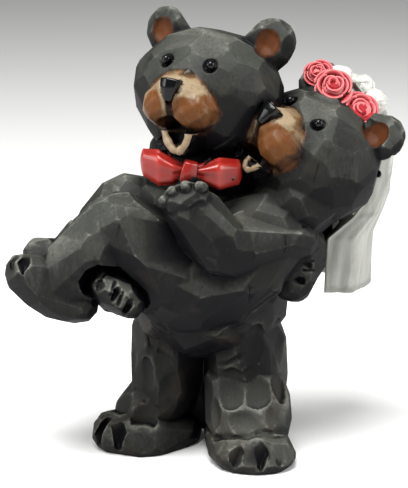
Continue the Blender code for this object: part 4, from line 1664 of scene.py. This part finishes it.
@dataclass
class Rose:
    """A full-blown rose: a rolled bud and three rings of cupped petals."""

    index: int
    centre: tuple[float, float, float]
    radius: float

    def petal(
        self, angle: float, inner: float, outer: float, lift: float, spread: float, turn: Matrix
    ) -> bpy.types.Object:
        """Bends one petal from a grid.

        Args:
            angle: Its place round the bud.
            inner: Its radius at the foot, as a share of the rose's.
            outer: Its radius at the rim.
            lift: The height of its rim.
            spread: Half the angle it wraps round.
            turn: The rose's own turn.

        Returns:
            The petal.
        """
        Bench.clear()
        bpy.ops.mesh.primitive_grid_add(x_subdivisions=9, y_subdivisions=6, size=2)
        petal = Bench.take("petal")

        def cup(co: Vector) -> Vector:
            """One point of the petal."""
            across, up = co.x, (co.y + 1) / 2
            rim = up * (1 - 0.16 * across**2 * up)
            swing = inner + (outer - inner) * math.sin(rim * math.pi / 2) ** 0.8
            curl = 0.15 * (max(0.0, rim - 0.66) / 0.34) ** 1.5
            radius = self.radius * (swing + curl + 0.05 * across)
            height = self.radius * (lift * rim**1.4 - curl * 0.55 - 0.35)
            place = angle + across * spread * (0.55 + 0.45 * math.sin(rim * math.pi * 0.62))
            local = Vector((math.cos(place) * radius, math.sin(place) * radius, height))
            return (Vector(self.centre) + turn @ local + MOVED) * MM

        Bench.shape(petal, cup)
        Bench.apply(petal, "SOLIDIFY", thickness=0.115 * self.radius * MM, offset=0)
        Bench.apply(petal, "SUBSURF", levels=1, render_levels=1)
        return petal

    def build(self, solid: BVHTree, paint: bpy.types.Material) -> bpy.types.Object:
        """Sets the petals round the bud and joins them.

        Args:
            solid: The casting.
            paint: The roses' material.

        Returns:
            The rose.
        """
        out = (Vector(self.centre) - Vector(BRIDE.at)).normalized()
        face = (out * 0.5 + Vector((-0.12, -1.0, 0.3))).normalized()
        turn = face.to_track_quat("Z", "Y").to_matrix()
        spin = self.index * 1.3
        rings = (
            (1, 0.05, 0.14, 0.82, 2.3, 0.0),
            (3, 0.15, 0.36, 0.78, 1.25, 0.9),
            (4, 0.32, 0.62, 0.62, 0.98, 0.2),
            (4, 0.48, 0.90, 0.38, 0.92, 0.7),
        )
        rng = np.random.default_rng(self.index + 3)
        petals = []
        for count, inner, outer, lift, spread, start in rings:
            for i in range(count):
                swing, grow, raise_by = rng.uniform(-1, 1, 3)
                angle = spin + start + i * 2 * math.pi / count + swing * 0.22
                rim, high = outer * (1 + grow * 0.1), lift * (1 + raise_by * 0.22)
                petals.append(self.petal(angle, inner, rim, high, spread, turn))
        Bench.clear()
        bpy.ops.mesh.primitive_uv_sphere_add(segments=24, ring_count=14, radius=1)
        heart = Bench.take("heart")
        squash = Vector((0.66, 0.66, 0.5)) * self.radius

        def sink(co: Vector) -> Vector:
            """One point of the heart, flattened and set low in the petals."""
            local = Vector((co.x * squash.x, co.y * squash.y, co.z * squash.z - self.radius * 0.25))
            return (Vector(self.centre) + turn @ local + MOVED) * MM

        Bench.shape(heart, sink)
        rose = Bench.join(f"rose_{self.index + 1}", [heart, *petals])
        dress(rose, paint, solid)
        return rose


@dataclass
class Jaw:
    """The carved lower lip: a thick loop that narrows to the chin.

    Attributes:
        bear: Whose lip.
        wide: Half the loop's width.
        chin: How far the loop hangs below the mouth's bottom.
        thick: The loop's own radius.
        aside: How far it sits to the bear's left.
        swing: How much further the chin does.
        front: How far forward it lies.
    """

    bear: Bear
    wide: float
    chin: float
    thick: float
    aside: float
    swing: float
    front: float

    def build(self, solid: BVHTree, paint: bpy.types.Material) -> bpy.types.Object:
        """Bends a ring into the lip; its upper half lies hidden behind the lobes.

        Args:
            solid: The casting.
            paint: The lip's material.

        Returns:
            The lip.
        """
        top, widest, bottom = self.bear.mouth
        Bench.clear()
        bpy.ops.mesh.primitive_torus_add(
            major_segments=72, minor_segments=20, major_radius=1, minor_radius=0.25
        )
        lip = Bench.take(f"{self.bear.name}_lower_lip")

        def bend(co: Vector) -> Vector:
            """One point of the lip, seen from the front as a rounded V."""
            angle = math.atan2(co.y, co.x)
            out, high = (math.hypot(co.x, co.y) - 1) / 0.25, co.z / 0.25
            rise = math.sin(angle)
            hang = max(0.0, -rise)
            drop = widest - (bottom - self.chin)
            up = widest + rise * (drop if rise < 0 else (top - widest) * 0.2)
            across = self.aside + math.cos(angle) * self.wide * (1 - 0.22 * hang) + self.swing * hang
            lump = 1 + 0.12 * math.sin(angle * 5 + 1.0) + 0.08 * math.sin(angle * 9)
            size = self.thick * lump * (1 - 0.5 * max(0.0, rise))
            forward = self.front + 0.9 * hang - 11 * max(0.0, rise) ** 0.6 + high * size
            across += math.cos(angle) * out * size
            return (self.bear.snout_place(across, forward, up + rise * out * size) + MOVED) * MM

        Bench.shape(lip, bend)
        dress(lip, paint, solid)
        return lip


JAWS = (
    Jaw(GROOM, wide=4.5, chin=1.3, thick=1.3, aside=2.2, swing=1.4, front=25.0),
    Jaw(BRIDE, wide=2.9, chin=2.2, thick=1.05, aside=2.8, swing=0.0, front=22.6),
)


@dataclass
class Face:
    """The glossy nose and eyes of one bear."""

    bear: Bear

    def nose(self) -> bpy.types.Object:
        """Cuts a block to a flat-topped triangle with a ridge down its front."""
        Bench.clear()
        bpy.ops.mesh.primitive_cube_add(size=2)
        nose = Bench.take(f"{self.bear.name}_nose")
        Bench.apply(nose, "SUBSURF", subdivision_type="SIMPLE", levels=1, render_levels=1)

        def cut(co: Vector) -> Vector:
            """One corner of the nose, from a cube with three points a side."""
            level = int(round(co.z)) + 1
            width = (1.3, 3.0, 3.2)[level]
            height = (-6.6, -1.8, 1.3)[level]
            front = (31.2, 32.4, 32.3)[level] + (0.9 if abs(co.x) < 0.5 else 0)
            if level == 2 and abs(co.x) > 0.5:
                height -= 0.3
            forward = 26.0 if co.y > 0.5 else (29.0 if abs(co.y) < 0.5 else front)
            lean = -0.5 if abs(co.x) < 0.5 else 0.0
            return (self.bear.snout_place(co.x * width + lean, forward, height) + MOVED) * MM

        Bench.shape(nose, cut)
        sharp = {"limit_method": "ANGLE", "angle_limit": math.radians(12)}
        Bench.apply(nose, "BEVEL", width=0.6 * MM, segments=3, **sharp)
        return nose

    def eyes(self) -> bpy.types.Object:
        """Sets a bead in each black socket."""
        parts = []
        for eye in EYES:
            across, forward, up = eye
            out = Vector((across / 27**2, -forward / 23**2, up / 21.3**2)).normalized()
            outward = self.bear.matrix() @ out
            place = (self.bear.place(*eye) + outward * 0.35 + MOVED) * MM
            Bench.clear()
            bpy.ops.mesh.primitive_uv_sphere_add(
                segments=40, ring_count=24, radius=BEAD_RADIUS * MM, location=place
            )
            parts.append(Bench.take("bead"))
        return Bench.join(f"{self.bear.name}_eyes", parts)

    def build(self, enamel: bpy.types.Material) -> list[bpy.types.Object]:
        """Makes nose and eyes in black enamel."""
        made = [self.nose(), self.eyes()]
        for piece in made:
            Bench.smooth(piece, 40)
            piece.data.materials.clear()
            piece.data.materials.append(enamel)
        return made


# The room


@dataclass
class Studio:
    """A pale floor, soft light and the photograph's view."""

    aim: tuple[float, float, float] = (0.0, 0.0, 75.0)
    distance: float = 630.0
    looks_down: float = 14.0
    lens: float = 1750 * 36 / 488

    def camera(self) -> None:
        """Places the camera in front, a little above."""
        data = bpy.data.cameras.new("camera")
        data.lens, data.sensor_width = self.lens, 36
        camera = bpy.data.objects.new("camera", data)
        bpy.context.scene.collection.objects.link(camera)
        down = math.radians(self.looks_down)
        away = Vector((0, -math.cos(down), math.sin(down))) * self.distance
        camera.location = (Vector(self.aim) + MOVED + away) * MM
        camera.rotation_euler = (math.radians(90) - down, 0, 0)
        bpy.context.scene.camera = camera

    def lamp(self, name: str, place: Vec, size: float, power: float) -> None:
        """Adds a square soft lamp that points at the figurine.

        Args:
            name: Its name.
            place: Where it stands, in metres.
            size: The side of its square, in metres.
            power: Its power, in watts.
        """
        data = bpy.data.lights.new(name, "AREA")
        data.size, data.energy = size, power
        lamp = bpy.data.objects.new(name, data)
        bpy.context.scene.collection.objects.link(lamp)
        lamp.location = place
        lamp.rotation_euler = (Vector((0, 0, 0.08)) - Vector(place)).to_track_quat("-Z", "Y").to_euler()

    def floor(self) -> None:
        """Lays a wide pale floor."""
        Bench.clear()
        bpy.ops.mesh.primitive_plane_add(size=6)
        floor = Bench.take("floor")
        g = Graph("pale floor")
        grey = g.mix(g.noise(120, 2) * 0.2, (0.80, 0.80, 0.79), (0.74, 0.74, 0.73))
        floor.data.materials.append(g.finish({"Base Color": grey, "Roughness": 0.85}))

    def build(self) -> None:
        """Sets floor, light and camera."""
        self.floor()
        self.lamp("top", (-0.12, -0.34, 1.0), 0.55, 22)
        self.lamp("left", (-0.95, -0.30, 0.42), 0.6, 9)
        self.lamp("right", (0.95, -0.15, 0.42), 0.6, 9)
        world = bpy.data.worlds.new("room")
        bpy.context.scene.world = world
        world.use_nodes = True
        back = world.node_tree.nodes["Background"]
        back.inputs["Color"].default_value = (1, 1, 1, 1)
        back.inputs["Strength"].default_value = 0.22
        bpy.context.scene.view_settings.view_transform = "Standard"
        self.camera()


def within(pieces: Iterable[bpy.types.Object], low: Vector, high: Vector) -> None:
    """Holds every point of the pieces inside the solid's own box."""
    for piece in pieces:
        flat = np.empty(len(piece.data.vertices) * 3, np.float32)
        piece.data.vertices.foreach_get("co", flat)
        points = np.clip(flat.reshape(-1, 3), np.array(low), np.array(high))
        piece.data.vertices.foreach_set("co", points.ravel())
        piece.data.update()


def main() -> None:
    """Builds every piece on the frame, in order, and logs each."""
    logging.basicConfig(level=logging.INFO, format="%(message)s")
    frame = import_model()
    node = frame["nodes"]["bear_couple"]
    low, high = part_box("bear_couple")
    Studio().build()

    casting = Casting().build(node)
    solid = solid_tree(casting.data)
    pieces = {casting: "fur"}
    for piece in Veil().build(solid):
        pieces[piece] = "veil"
    pieces[BowTie().build(solid)] = "bow"
    pink = CORAL.make()
    for index, (centre, radius) in enumerate(ROSES):
        pieces[Rose(index, centre, radius * BLOOMS[index]).build(solid, pink)] = "rose"
    cream = CREAM.make()
    for jaw in JAWS:
        pieces[jaw.build(solid, cream)] = "fur"
    enamel = EnamelPaint().make()
    for bear in BEARS:
        for piece in Face(bear).build(enamel):
            pieces[piece] = "gloss_black"

    within(pieces, low, high)
    for piece, slot in pieces.items():
        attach(piece, "root")
        LOG.info("%s: %d triangles", piece.name, sum(len(face.vertices) - 2 for face in piece.data.polygons))
    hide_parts("bear_couple")


if __name__ == "__main__":
    main()
